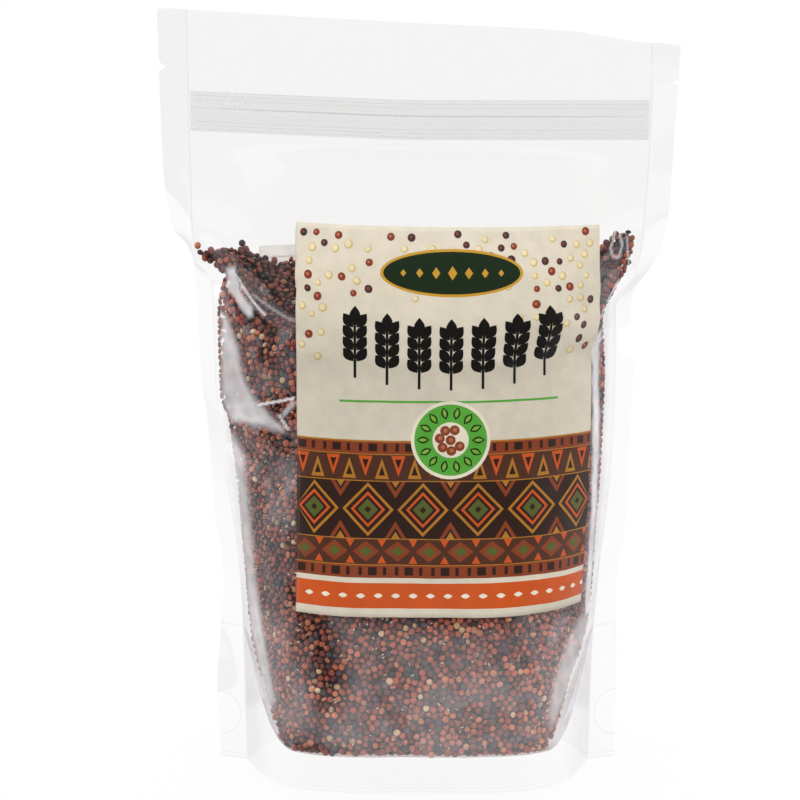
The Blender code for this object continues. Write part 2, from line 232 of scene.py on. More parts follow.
# %% Mesh helpers
def new_piece(name, points, faces, material=None, smooth=True):
    """A piece from an array of points and an array of faces that all have as many corners."""
    faces = np.asarray(faces, dtype=np.int32)
    mesh = bpy.data.meshes.new(name)
    mesh.vertices.add(len(points))
    mesh.vertices.foreach_set("co", np.asarray(points, dtype=np.float32).ravel())
    mesh.loops.add(faces.size)
    mesh.loops.foreach_set("vertex_index", faces.ravel())
    mesh.polygons.add(len(faces))
    mesh.polygons.foreach_set("loop_start", np.arange(0, faces.size, faces.shape[1], dtype=np.int32))
    mesh.polygons.foreach_set("use_smooth", np.full(len(faces), smooth))
    mesh.update(calc_edges=True)
    piece = bpy.data.objects.new(name, mesh)
    bpy.context.scene.collection.objects.link(piece)
    if material:
        mesh.materials.append(material)
    return piece


def grid_faces(rows, columns, flip=False):
    """Corner numbers of the cells of a grid of points stored row by row."""
    at = (np.arange(rows - 1)[:, None] * columns + np.arange(columns - 1)[None, :]).ravel()
    order = [at, at + 1, at + columns + 1, at + columns]
    return np.stack(order[::-1] if flip else order, axis=1)


def grid_piece(name, points, material=None, flip=False, uv=None):
    """A sheet from a grid of points, with an own UV map if uv gives a pair for each point."""
    rows, columns = points.shape[:2]
    faces = grid_faces(rows, columns, flip)
    piece = new_piece(name, points.reshape(-1, 3), faces, material)
    if uv is not None:
        layer = piece.data.uv_layers.new(name="across_height")
        layer.data.foreach_set("uv", uv.reshape(-1, 2)[faces.ravel()].astype(np.float32).ravel())
    return piece


def give_colours(piece, name, values):
    """Stores one colour for each point."""
    layer = piece.data.color_attributes.new(name, "FLOAT_COLOR", "POINT")
    layer.data.foreach_set("color", np.asarray(values, dtype=np.float32).ravel())


# %% [markdown]
# ## Painted glare: veils and highlight lines
# Where slack film turns sideways it would mirror the side lights as a pale veil, and where it
# is bent sharply a hair-thin highlight runs along the crease.  Both are painted reflections,
# drawn on the flat film as outlines and lines in (across, height), and kept as a value at each
# point of the film's mesh.

# %% Painted reflections: veils (strength, softness, outline) and highlight lines along creases (strength, width, points), in millimetres
FRONT_REFLECTION_VEILS = (
    (0.8, 0.8, ((-54.2, 138), (-51.5, 138.5), (-51.8, 132.8), (-47.2, 128.5), (-47, 126), (-49, 125.8),
                 (-53, 130), (-57, 133.5))),
    (0.60, 1.6, ((-59.2, 126.2), (-57.2, 124.5), (-53.4, 118), (-51.4, 110), (-48, 104.8), (-44.5, 102),
                 (-37.8, 97.2), (-37.5, 95.8), (-42.8, 96.8), (-51.2, 97), (-56.8, 96.5), (-59.2, 99.2),
                 (-60.5, 103.2), (-59.8, 118.5))),
    (0.66, 1.3, ((-50, 104), (-44.5, 102), (-37.8, 97.2), (-37.5, 95.8), (-42.8, 96.8), (-51.2, 97),
                 (-57, 97), (-57, 101))),
    (0.62, 2.3, ((-58.3, 93), (-55.5, 91.2), (-52.4, 86.2), (-52.2, 78.2), (-52.0, 69.5), (-51.8, 58.5),
                 (-49.8, 47.5), (-46.2, 37.2), (-42.4, 27.2), (-40.6, 22.5), (-43.0, 19.5), (-47.4, 25.5),
                 (-54.4, 37.2), (-57.0, 46), (-58.0, 60), (-58.2, 74), (-58.4, 88))),
    (0.82, 1.0, ((47.6, 119.8), (51.4, 122.4), (53, 118.2), (53.2, 102.2), (54, 96.5), (54, 80), (55.6, 63),
                 (57, 46.5), (57, 43), (53, 42.8), (52.4, 58.2), (51, 80.8), (50.6, 97.5), (50, 112.4))),
    (0.50, 2.4, ((54, 43.8), (60.5, 40), (57, 35.5), (49.5, 30), (43, 24.8), (38.2, 19.8), (34.8, 15.8),
                 (33.8, 20), (35.5, 26.5), (38.5, 32.8), (43.2, 38.5), (48.8, 43))),
    # faint and broad: a painted reflection of the table, low on the belly
    (0.125, 5.0, ((-22, 47), (8, 44), (38, 46), (46, 38), (34, 12), (-10, 8), (-24, 14), (-18, 32))),
    (0.10, 4.0, ((-50, 44), (-38, 46), (-28, 34), (-28, 18), (-38, 12), (-44, 18))),
    (0.09, 3.0, ((-46, 112), (-36, 114), (-34, 108), (-44, 106))),
    (0.11, 3.0, ((-44, 84), (-34, 90), (-34, 72), (-44, 70))),
)
FRONT_HIGHLIGHT_LINES = (
    (0.9, 0.55, ((-52.2, 137.5), (-51, 134.2), (-47.2, 130.5), (-43, 127))),
    (0.3, 0.6, ((-46.8, 132), (-40, 129), (-35, 126.8), (-32.8, 127))),
    (0.85, 0.5, ((-46, 102.5), (-39.2, 104.2), (-34.2, 105.5))), (0.45, 1.1, ((-34.5, 104), (-37.2, 101))),
    (0.8, 0.5, ((-38.8, 100.5), (-36, 96.8))), (0.6, 0.5, ((53.8, 129.8), (56.8, 134.8))),
    (0.45, 0.5, ((54, 128.2), (52, 128), (49, 125), (47, 121.5), (47.2, 118.8))),
    (0.8, 0.5, ((47.8, 118), (53.8, 119.8), (55.5, 125.5))),
    (0.5, 0.55, ((56, 147.5), (57, 144.8), (56, 141.2), (54, 142), (53.2, 144.2), (54, 146), (54.6, 149))),
    (0.4, 0.5, ((58.2, 147), (59, 142.5), (59.8, 139.2))),
    # painted highlights where the zip was pressed flat at its ends
    (0.75, 1.5, ((-58.5, 185.4), (-54, 185.0), (-49.5, 184.2))),
    (0.6, 0.7, ((-57.6, 181.4), (-56.8, 179.8))), (0.6, 0.7, ((-54.6, 181.6), (-53.6, 179.9))),
    (0.6, 0.7, ((-50.8, 181.2), (-49.8, 179.6))), (0.5, 0.7, ((-47.2, 181.0), (-46.2, 179.4))),
)
BACK_REFLECTION_VEILS = (
    (0.30, 2.0, ((-60, 130), (-54, 128), (-50, 100), (-53, 70), (-49, 40), (-56, 36), (-61, 60), (-60, 100))),
    (0.34, 2.0, ((60, 128), (54, 126), (51, 100), (54, 72), (50, 44), (56, 38), (61, 60), (60, 100))),
)
BACK_HIGHLIGHT_LINES = (
    (0.7, 0.6, ((-53, 137), (-48, 131), (-43, 128))), (0.6, 0.6, ((52, 136), (48, 130), (42, 128))),
    (0.4, 0.8, ((-47, 100), (-40, 104))), (0.4, 0.8, ((55, 66), (48, 60))),
)


def distance_to_run(across, height, points):
    """Distance to the nearest part of a line through the points."""
    nearest = np.full(np.shape(across), 1e9)
    for (x0, z0), (x1, z1) in zip(points[:-1], points[1:]):
        run = np.array((x1 - x0, z1 - z0))
        t = np.clip(((across - x0) * run[0] + (height - z0) * run[1]) / (run @ run), 0, 1)
        nearest = np.minimum(nearest, np.hypot(across - x0 - t * run[0], height - z0 - t * run[1]))
    return nearest


def glare(across, height, veils, lines):
    """How much painted reflection the film shows at each place, 0 to 1: a veil fades over its
    softness on both sides of its outline, a highlight line over its width, and the strongest counts."""
    total = np.zeros(np.shape(across))
    wobble = 0.5 * np.sin(0.9 * across + 0.5 * height) + 0.4 * np.sin(0.35 * across - 1.1 * height)
    for strength, soft, outline in veils:
        places = np.stack([across.ravel(), height.ravel()], axis=1)
        inside = inside_shape(places, outline).reshape(np.shape(across))
        away = distance_to_run(across, height, outline + outline[:1]) * np.where(inside, -1, 1)
        share = 1 - ease(-soft, soft, away + 0.4 * wobble)
        total = np.maximum(total, strength * share * (0.86 + 0.14 * wobble))
    for strength, width, points in lines:
        away = distance_to_run(across, height, points)
        total = np.maximum(total, strength * (1 - ease(0.3 * width, width, away)))
    return np.clip(total, 0, 1)


def inside_shape(places, corners):
    """Which places lie inside a shape: a line from each to the right crosses its edges an odd
    number of times."""
    corner = np.array(corners)
    after = np.roll(corner, -1, axis=0)
    x, y = places[:, :1], places[:, 1:]
    spans = (corner[None, :, 1] > y) != (after[None, :, 1] > y)
    rise = after[:, 1] - corner[:, 1]
    crossing = corner[:, 0] + (y - corner[:, 1]) * (after[:, 0] - corner[:, 0]) / np.where(rise == 0, 1, rise)
    return (spans & (x < crossing)).sum(axis=1) % 2 == 1


# %% [markdown]
# ## Small tools for materials
# Node trees are long to write by hand.  These helpers add a node, set its values and link it, so
# that each material below reads as a short recipe.

# %% Node helpers
def feed(tree, sockets, values):
    """Gives each socket that values names, by name or by number, its value or its link."""
    for key, value in values.items():
        if isinstance(value, bpy.types.NodeSocket):
            tree.links.new(value, sockets[key])
        else:
            sockets[key].default_value = value


def add_node(tree, kind, **values):
    """Adds a node; values are its settings, or its input sockets by number as in1=..."""
    node = tree.nodes.new(kind)
    given = {}
    for key, value in values.items():
        if key.startswith("in") and key[2:].isdigit():
            given[int(key[2:])] = value
        else:
            setattr(node, key, value)
    feed(tree, node.inputs, given)
    return node


def calc(tree, what, a, b=0.0, c=0.0, clamp=False):
    """A Math node's result."""
    return add_node(tree, "ShaderNodeMath", operation=what, use_clamp=clamp, in0=a, in1=b, in2=c).outputs[0]


def step_up(tree, value, low, high, bottom=0.0, top=1.0):
    """A smooth step from bottom to top while value goes from low to high."""
    node = add_node(tree, "ShaderNodeMapRange", interpolation_type="SMOOTHSTEP", in0=value,
                    in1=low, in2=high, in3=bottom, in4=top)
    return node.outputs[0]


def mix_colours(tree, share, first, second, how="MIX"):
    """A Mix node for colours."""
    node = add_node(tree, "ShaderNodeMix", data_type="RGBA", blend_type=how,
                    in0=share, in6=first, in7=second)
    return node.outputs[2]


def dimmed(tree, colour, value):
    """A colour times a plain value."""
    grey = add_node(tree, "ShaderNodeCombineColor", in0=value, in1=value, in2=value).outputs[0]
    return mix_colours(tree, 1.0, colour, grey, "MULTIPLY")


def noise(tree, where, scale, detail):
    """A noise value over the given coordinates."""
    node = add_node(tree, "ShaderNodeTexNoise", in0=where)
    feed(tree, node.inputs, {"Scale": scale, "Detail": detail, "Roughness": 0.5, "Distortion": 0.0})
    return node.outputs[0]


def uneven(tree, height, strength, distance, invert=False):
    """The normal of a surface that a height value makes slightly uneven."""
    node = add_node(tree, "ShaderNodeBump", invert=invert)
    feed(tree, node.inputs, {"Strength": strength, "Distance": distance, "Height": height})
    return node.outputs[0]


def new_group(name, inputs, outputs):
    """A node group with named sockets, each given as (name, socket type)."""
    group = bpy.data.node_groups.new(name, "ShaderNodeTree")
    for direction, sockets in (("INPUT", inputs), ("OUTPUT", outputs)):
        for label, kind in sockets:
            group.interface.new_socket(label, in_out=direction, socket_type=kind)
    return group, group.nodes.new("NodeGroupInput"), group.nodes.new("NodeGroupOutput")


def new_material(name):
    """An empty material, its node tree and its output node."""
    material = bpy.data.materials.new(name)
    material.use_nodes = True
    tree = material.node_tree
    tree.nodes.clear()
    return material, tree, tree.nodes.new("ShaderNodeOutputMaterial")


def principled(tree, colour, roughness, more=None):
    """A Principled BSDF; colour, roughness and more (by input name) may be values or sockets."""
    node = tree.nodes.new("ShaderNodeBsdfPrincipled")
    feed(tree, node.inputs, {"Base Color": colour, "Roughness": roughness, **(more or {})})
    return node


def linear(red, green, blue):
    """A colour given as it looks on a screen (0 to 255), turned into light values."""
    value = np.array((red, green, blue)) / 255
    value = np.where(value <= 0.04045, value / 12.92, ((value + 0.055) / 1.055) ** 2.4)
    return (*value.tolist(), 1.0)


# %% [markdown]
# ## Clear film
# Film is nearly invisible by itself.  What shows is its gloss, which mirrors the side lights
# along the folds, and welds that are a little greyer because two sheets are one.  The brightest
# streaks along the folds and the milky veil low down, where the film would mirror the pale floor,
# are painted reflections: a pale, faintly glowing layer mixed in by the glare values and by noise.
# The material lets light through and mirrors a share of it, by Fresnel, and a group reads the
# film's own map to find the welds.

# %% The welds, read from the film's map (across, height), and the film material
def make_weld_group():
    """Weld is 1 past the side seams and under the base seal; Line is 1 on the thin edges of the
    welds, along the foot, on the fold of the base film and round the punched half circles."""
    group, given, result = new_group(
        "weld marks", [("Map", "NodeSocketVector")],
        [("Weld", "NodeSocketFloat"), ("Line", "NodeSocketFloat")])
    axes = add_node(group, "ShaderNodeSeparateXYZ", in0=given.outputs[0]).outputs
    along = calc(group, "MULTIPLY_ADD", axes[0], MAP_WIDE, -MAP_WIDE / 2)
    height = calc(group, "MULTIPLY", axes[1], MAP_TALL)
    away = calc(group, "ABSOLUTE", along)
    full_rise = float(1 / ease(RISE_FROM, RISE_TO, HALF_TUBE))
    rise = step_up(group, away, RISE_FROM, RISE_TO, 0.0, full_rise)
    seal = calc(group, "MULTIPLY_ADD", calc(group, "MINIMUM", rise, 1.0), FOLD_HEIGHT - SKIRT, SKIRT)
    side = step_up(group, away, HALF_TUBE - 0.1, HALF_TUBE + 0.1)
    low = step_up(group, calc(group, "SUBTRACT", height, seal), 0.15, -0.15)
    weld = calc(group, "MAXIMUM", side, low)
    centre = calc(group, "POWER", calc(group, "SUBTRACT", away, HALF_WIDTH), 2.0)
    ring = calc(group, "SQRT", calc(group, "ADD", centre, calc(
        group, "POWER", calc(group, "SUBTRACT", height, HOLE_HEIGHT), 2.0)))
    punched = step_up(group, ring, HOLE_RADIUS + 0.2, HOLE_RADIUS - 0.2)
    edges = []
    above_seal = calc(group, "SUBTRACT", height, seal)
    for value, place in ((away, HALF_TUBE), (above_seal, 0.0), (ring, HOLE_RADIUS)):
        gap = calc(group, "ABSOLUTE", calc(group, "SUBTRACT", value, place))
        edges.append(step_up(group, gap, 0.32, 0.08))
    for place, wide in ((0.25, 0.3), (1.35, 0.2)):
        gap = calc(group, "ABSOLUTE", calc(group, "SUBTRACT", height, place))
        edges.append(step_up(group, gap, wide, wide * 0.4))
    fold = calc(group, "MULTIPLY", step_up(group, calc(group, "ABSOLUTE", calc(
        group, "SUBTRACT", height, FOLD_HEIGHT)), 0.3, 0.1), side)
    line = fold
    for edge in edges:
        line = calc(group, "MAXIMUM", line, edge)
    weld = calc(group, "SUBTRACT", weld, calc(group, "MULTIPLY", punched, 0.5), clamp=True)
    group.links.new(weld, result.inputs[0])
    group.links.new(line, result.inputs[1])
    return group


weld_marks = make_weld_group()
FILM_IOR = 1.56


def make_film(name, haze=0.004):
    """Transparent and glossy by Fresnel, greyer where it is seen at a slant and so through more
    plastic, with a thin milky haze of its own that is stronger in the welds; on top, painted
    reflections make it pale and faintly glowing in patches low down and in the glare layer's
    veils and lines."""
    material, tree, result = new_material(name)
    place = add_node(tree, "ShaderNodeUVMap", uv_map="across_height").outputs[0]
    marks = add_node(tree, "ShaderNodeGroup", node_tree=weld_marks, in0=place).outputs
    where = add_node(tree, "ShaderNodeTexCoord").outputs["Object"]
    ripple = uneven(tree, noise(tree, where, 120.0, 2.0), 0.06, 0.0006)
    behind = add_node(tree, "ShaderNodeNewGeometry").outputs["Backfacing"]
    index = calc(tree, "MULTIPLY_ADD", behind, 1 / FILM_IOR - FILM_IOR, FILM_IOR)
    shine = add_node(tree, "ShaderNodeFresnel", in0=index)
    tree.links.new(ripple, shine.inputs["Normal"])
    slant = step_up(tree, shine.outputs[0], 0.06, 0.3)
    tint = mix_colours(tree, marks["Weld"], (0.997, 0.994, 0.991, 1), (0.988, 0.984, 0.980, 1))
    tint = mix_colours(tree, slant, tint, (0.90, 0.895, 0.89, 1))
    tint = mix_colours(tree, marks["Line"], tint, (0.955, 0.95, 0.945, 1))
    clear = add_node(tree, "ShaderNodeBsdfTransparent", in0=tint)
    gloss = add_node(tree, "ShaderNodeBsdfGlossy", in0=(0.95, 0.94, 1, 1), in1=0.11)
    tree.links.new(ripple, gloss.inputs["Normal"])
    sheet = add_node(tree, "ShaderNodeMixShader", in0=shine.outputs[0], in1=clear.outputs[0],
                     in2=gloss.outputs[0])
    # painted reflection of the pale table: whitish noise patches low on the film, added to its own haze
    low = step_up(tree, add_node(tree, "ShaderNodeSeparateXYZ", in0=place).outputs[1], 0.2, 0.1, 0.0, 0.04)
    table_reflection_patches = step_up(tree, noise(tree, where, 38.0, 2.0), 0.40, 0.56, 0.0, 1.0)
    haze = calc(tree, "MULTIPLY_ADD", low, table_reflection_patches, haze)
    haze_and_glare = calc(tree, "ADD", haze, calc(tree, "ADD", calc(tree, "MULTIPLY", marks["Weld"], 0.012),
                                        calc(tree, "MULTIPLY", marks["Line"], 0.01)))
    # painted reflections from the glare layer, made uneven by noise
    painted_glare = add_node(tree, "ShaderNodeSeparateColor", in0=add_node(
        tree, "ShaderNodeVertexColor", layer_name="glare").outputs[0]).outputs[0]
    breath = step_up(tree, noise(tree, where, 70.0, 4.0), 0.35, 0.75, 0.8, 1.15)
    haze_and_glare = calc(tree, "ADD", haze_and_glare, calc(tree, "MULTIPLY", painted_glare, breath), clamp=True)
    # the pale body that these painted reflections show, with a faint glow of its own
    body = principled(tree, (0.79, 0.775, 0.79, 1), 0.4, {
        "Emission Color": (0.98, 0.97, 1, 1), "Emission Strength": 0.14})
    add = add_node(tree, "ShaderNodeMixShader", in0=haze_and_glare, in1=sheet.outputs[0], in2=body.outputs[0])
    tree.links.new(add.outputs[0], result.inputs[0])
    return material


clear_film = make_film("clear_film")
print("film material with", len(clear_film.node_tree.nodes), "nodes")

# %% [markdown]
# ## The two faces and the base
# The front sheet reaches out over the side welds and down the skirts, because there both sheets
# are one.  The back sheet is a second grid.  Between the skirts hangs the base film: a strip
# across the bag that sags a little and rises like a boat's ends to the side welds.

# %% Front and back film
NOTCHES = {-1: 189.4, 1: 188.7}


def sheet_places():
    """A grid of across and height values, closer near the edges, with a V-shaped tear notch in
    each side: there the outermost points move in by up to 2 mm."""
    inner = np.sin(np.linspace(-1, 1, 223) * 1.25) / np.sin(1.25) * HALF_TUBE
    side = np.linspace(HALF_TUBE, HALF_WIDTH, 9)[1:]
    columns = np.concatenate([-side[::-1], inner, side])
    rows = np.unique(np.concatenate([np.linspace(0, TOP, 391), *(
        np.linspace(level - 1.3, level + 1.3, 9) for level in NOTCHES.values())]))
    across, height = np.meshgrid(columns, rows)
    out = np.clip((np.abs(across) - HALF_TUBE) / SEAL, 0, 1)
    level = np.where(across < 0, NOTCHES[-1], NOTCHES[1])
    notch = 2.0 * np.clip(1 - np.abs(height - level) / 1.2, 0, 1)
    return across - np.sign(across) * out * notch, height


for name, face in (("film_front", -1), ("film_back", 1)):
    across, height = sheet_places()
    uv = np.stack([across / MAP_WIDE + 0.5, height / MAP_TALL], axis=-1)
    sheet = grid_piece(name, film(across, height, face), clear_film, flip=face > 0, uv=uv)
    veils, lines = (FRONT_REFLECTION_VEILS, FRONT_HIGHLIGHT_LINES) if face < 0 else (BACK_REFLECTION_VEILS, BACK_HIGHLIGHT_LINES)
    pale = glare(across, height, veils, lines).ravel()
    give_colours(sheet, "glare", np.stack([pale, pale, pale, np.ones(len(pale))], axis=1))
    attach(sheet, "root")
    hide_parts("pouch")
    print(name, len(sheet.data.polygons), "faces")

# %% Base film
def base_film(across, t, lift=0.0):
    """Points between the front and back base seal at share t (-1 to 1): straight across in plan,
    and as high as the seal less a sag of (1 - |t|^1.3), which dies out at the side fold."""
    seal = base_seal(across)
    front, back = film(across, seal, -1), film(across, seal, 1)
    point = front * ((1 - t) / 2)[..., None] + back * ((1 + t) / 2)[..., None]
    sag = SAG * (1 - (np.abs(across) / HALF_TUBE) ** 6) * (1 - np.abs(t) ** 1.3)
    point[..., 2] = (seal - sag + lift) * MM
    return point


across, t = np.meshgrid(np.linspace(-HALF_TUBE, HALF_TUBE, 91), np.linspace(-1, 1, 41))
uv = np.stack([np.full(across.shape, 0.5), np.full(across.shape, 0.5)], axis=-1)
sheet = grid_piece("film_base", base_film(across, t), clear_film, flip=True, uv=uv)
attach(sheet, "root")
print("film_base", len(sheet.data.polygons), "faces")

# %% [markdown]
# ## The press zip
# On a real bag two ribbed strips are welded inside the film and snap into each other.  Here, as
# in the solid pouch, each lies on the outer side of its face, which looks the same through clear
# film: a section of fine ribs and one deep ridge, carried along the film from seam to seam.

# %% Zip strips
def zip_section():
    """(height, thickness) along the strip, bottom to top: a flat flange with fine ribs, a
    rounded ridge in the middle, and fine ribs again."""
    height = np.linspace(-5.4, 5.4, 121)
    ribs = 0.22 * np.clip(np.cos(height * 2 * np.pi / 1.0), 0, 1) ** 0.8
    ribs *= (np.abs(height) > 2.2) & (np.abs(height) < 5.2)
    ridge = 0.8 * np.cos(np.clip(height / 1.5, -1, 1) * np.pi / 2) ** 1.5
    return height, 0.16 + ribs + ridge


def make_zip_material():
    """Milky clear plastic: partly see-through, with a soft gloss along its ribs."""
    material, tree, result = new_material("zip_plastic")
    where = add_node(tree, "ShaderNodeTexCoord").outputs["Object"]
    cloud = noise(tree, where, 60.0, 3.0)
    colour = mix_colours(tree, cloud, (0.9, 0.89, 0.87, 1), (0.97, 0.965, 0.955, 1))
    body = principled(tree, colour, 0.22)
    clear = add_node(tree, "ShaderNodeBsdfTransparent", in0=(0.97, 0.97, 0.97, 1))
    shine = add_node(tree, "ShaderNodeFresnel", in0=1.5)
    share = calc(tree, "ADD", calc(tree, "MULTIPLY", shine.outputs[0], 0.30), 0.02, clamp=True)
    both = add_node(tree, "ShaderNodeMixShader", in0=share, in1=clear.outputs[0], in2=body.outputs[0])
    tree.links.new(both.outputs[0], result.inputs[0])
    return material


zip_plastic = make_zip_material()
for name, face in (("zip_front", -1), ("zip_back", 1)):
    rise, thick = zip_section()
    across, height = np.meshgrid(np.linspace(-HALF_TUBE + 0.4, HALF_TUBE - 0.4, 121), ZIP_HEIGHT + rise)
    base, normal = film(across, height, face), outward(across, height, face)
    inner, outer = base + normal * 0.1 * MM, base + normal * (0.1 + thick[:, None, None]) * MM
    loop = np.concatenate([outer, inner[::-1], outer[:1]])
    strip = grid_piece(name, loop, zip_plastic, flip=face > 0)
    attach(strip, "root")
    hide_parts("zip_strip_front" if face < 0 else "zip_strip_back")
    print(name, len(strip.data.polygons), "faces")

# %% [markdown]
# ## Where the grain lies
# The grain fills the bag up to a line that is lower at the front than at the back, because the
# bag was filled standing and then leaned.  At both ends it runs up into the corners where the
# seams spread.  One curve for each face gives its fill line, and a sloping heap joins the two.

# %% Fill lines and the dark core
FRONT_FILL = ((-63, 142.6), (-57, 141.8), (-52, 138.4), (-47, 126.5), (-38, 121), (-20, 119.5), (0, 119.5),
              (30, 119.5), (44, 120.5), (50, 124), (54, 137), (57, 146), (63, 147))
BACK_FILL = ((-63, 141.4), (-58, 141.2), (-52, 141.4), (-48, 142.4), (-45, 140), (-40, 138), (-20, 137),
             (20, 136.5), (40, 137.5), (48, 140.5), (54, 146), (59, 147.8), (63, 144))
# How far out the grain reaches at each height, where the film closes up before its seam
LEFT_GRAIN = ((4, 35.0), (9, 38.7), (17.5, 40.8), (22.5, 42.4), (32.5, 46.0), (38, 47.3), (57, 48.9),
              (79, 50.6), (93, 52.4), (97, 53.0), (100, 54.3), (104, 55.3), (126, 55.6),
              (133, 54.6), (138, 55.2), (139.5, 58), (141, 61), (143, 62.6))
RIGHT_GRAIN = ((4, 33.5), (8.7, 35.0), (18.5, 38.7), (27.5, 41.6), (36, 45.6), (43, 47.2), (55, 48.3),
               (67, 48.9), (77, 49.8), (90, 50.5), (110, 51.1), (119.5, 50.7),
               (124, 50.2), (128, 51.0), (132, 53.2), (136, 55.6), (140, 58.2), (143, 59.2), (150, 59.2))


def within_reach(point, margin):
    """True for points that lie inside the grain's reach by the margin, in millimetres."""
    x, z = point[..., 0] / MM, point[..., 2] / MM
    return (x > -curve(LEFT_GRAIN, z) + margin) & (x < curve(RIGHT_GRAIN, z) - margin)


def heap_top(across, t, lower=0.0):
    """Points of the heap's surface: straight from the front fill line (t = 0) to the back one
    (t = 1), with small bumps."""
    front = film(across, curve(FRONT_FILL, across), -1, 1.2)
    back = film(across, curve(BACK_FILL, across), 1, 1.2)
    point = front * (1 - t)[..., None] + back * t[..., None]
    bumps = (0.5 * np.sin(0.5 * across + 3 * t) + 0.45 * np.sin(0.31 * across - 9 * t + 1)
             + 0.3 * np.sin(1.1 * across + 14 * t))
    point[..., 2] += (bumps * np.sin(np.pi * np.clip(t, 0, 1)) - lower) * MM
    return point


def core_ring(across):
    """One closed ring of the core for each across value: up the front, over the heap, down the
    back and along the base, all a grain's thickness inside."""
    parts = []
    rise = np.linspace(0, 1, 60)[:, None]
    bottom, a = base_seal(across) + 2.2, across[None, :] * np.ones((60, 1))
    fill = curve(FRONT_FILL, across) - 1.5
    parts.append(film(a, bottom + (np.maximum(fill, bottom + 1) - bottom) * rise, -1, 2.3))
    parts.append(heap_top(a[:30], np.linspace(0.04, 0.96, 30)[:, None] * np.ones(a[:30].shape), 2.3))
    fill = curve(BACK_FILL, across) - 1.5
    parts.append(film(a, bottom + (np.maximum(fill, bottom + 1) - bottom) * rise[::-1], 1, 2.3))
    parts.append(base_film(a[:30], np.linspace(0.96, -0.96, 30)[:, None] * np.ones(a[:30].shape), 2.2))
    ring = np.concatenate(parts)
    height = ring[..., 2] / MM
    left, right = 3.0 - curve(LEFT_GRAIN, height), curve(RIGHT_GRAIN, height) - 3.0
    ring[..., 0] = np.clip(ring[..., 0], left * MM, right * MM)
    return np.concatenate([ring, ring[:1]])


def make_core_material():
    """Very dark plum brown with grain-sized mottling: the shade between grains."""
    material, tree, result = new_material("grain_shade")
    where = add_node(tree, "ShaderNodeTexCoord").outputs["Object"]
    cells = add_node(tree, "ShaderNodeTexVoronoi", in0=where)
    cells.inputs["Scale"].default_value = 620.0
    colour = mix_colours(tree, step_up(tree, cells.outputs["Distance"], 0.05, 0.5),
                         (0.016, 0.006, 0.006, 1), (0.006, 0.004, 0.005, 1))
    pits = uneven(tree, cells.outputs["Distance"], 1.0, 0.001, invert=True)
    shader = principled(tree, colour, 0.7, {"Normal": pits})
    tree.links.new(shader.outputs[0], result.inputs[0])
    return material


columns = np.sin(np.linspace(-1, 1, 121) * 1.35) / np.sin(1.35) * 60.5
core = grid_piece("grain_core", core_ring(columns), make_core_material())
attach(core, "root")
print("grain_core", len(core.data.polygons), "faces")

# %% [markdown]
# ## The grains
# A quinoa grain is a round tablet about 2 mm across and a little over half as thick.  Thousands
# show, so one small shape is copied by array arithmetic: each copy gets its own place, turn and
# size, and all copies of one colour become one mesh.  The places start as neat rows, are shaken,
# and then close neighbours push each other apart, as grains do when a bag is tapped.

# %% Places on a flat patch, and the shape of one grain
def shaken_places(width, tall, spacing, seed):
    """Staggered rows, each place moved by a random step; then every place is moved away from
    neighbours nearer than the spacing, by part of what is missing, several times."""
    rng = np.random.default_rng(seed)
    rows, columns = int(tall / (spacing * 0.866)) + 1, int(width / spacing) + 1
    j, i = np.mgrid[0:rows, 0:columns]
    place = np.stack([(i + 0.5 * (j % 2)) * spacing, j * spacing * 0.866], axis=-1)
    place = place + rng.normal(0, 0.34 * spacing, place.shape)
    shifts = [(a, b) for a in range(-2, 3) for b in range(-2, 3) if (a, b) != (0, 0)]
    for _ in range(14):
        push = np.zeros_like(place)
        for shift in shifts:
            gap = place - np.roll(place, shift, axis=(0, 1))
            distance = np.maximum(np.linalg.norm(gap, axis=-1, keepdims=True), 1e-6)
            push += gap / distance * np.clip(0.97 * spacing - distance, 0, None)
        place = place + 0.3 * push
    return place.reshape(-1, 2)


def grain_shape(sides=10):
    """A rounded tablet of radius 1 and half thickness 0.52, as three rings and two poles; also
    how near each point is to the rim (0 to 1)."""
    angle = np.arange(sides) * 2 * np.pi / sides
    rings = ((0.70, 0.43), (1.0, 0.0), (0.70, -0.43))
    points = [np.array([[0, 0, 0.52]])]
    for k, (radius, z) in enumerate(rings):
        turn = angle + (np.pi / sides if k == 1 else 0)
        points.append(np.stack([radius * np.cos(turn), radius * np.sin(turn), np.full(sides, z)], axis=1))
    points.append(np.array([[0, 0, -0.52]]))
    faces = []
    for s in range(sides):
        n = (s + 1) % sides
        a, b, c = 1, 1 + sides, 1 + 2 * sides
        faces += [(0, a + s, a + n), (a + s, b + s, a + n), (a + n, b + s, b + n),
                  (b + s, c + n, b + n), (b + s, c + s, c + n), (1 + 3 * sides, c + n, c + s)]
    rim = np.concatenate([[0], np.full(sides, 0.45), np.full(sides, 1.0), np.full(sides, 0.45), [0]])
    return np.concatenate(points), np.array(faces), rim


def frames_from(normal, tilt, turn, spin):
    """Turning matrices whose third axis is the normal tipped by tilt towards direction turn."""
    helper = np.where(np.abs(normal[:, 2:3]) < 0.9, np.array([[0, 0, 1.0]]), np.array([[1.0, 0, 0]]))
    first = np.cross(helper, normal)
    first /= np.linalg.norm(first, axis=1, keepdims=True)
    second = np.cross(normal, first)
    way = first * np.cos(turn)[:, None] + second * np.sin(turn)[:, None]
    third = normal * np.cos(tilt)[:, None] + way * np.sin(tilt)[:, None]
    side = np.cross(normal, way)
    other = np.cross(third, side)
    return np.stack([side * np.cos(spin)[:, None] + other * np.sin(spin)[:, None],
                     -side * np.sin(spin)[:, None] + other * np.cos(spin)[:, None], third], axis=2)


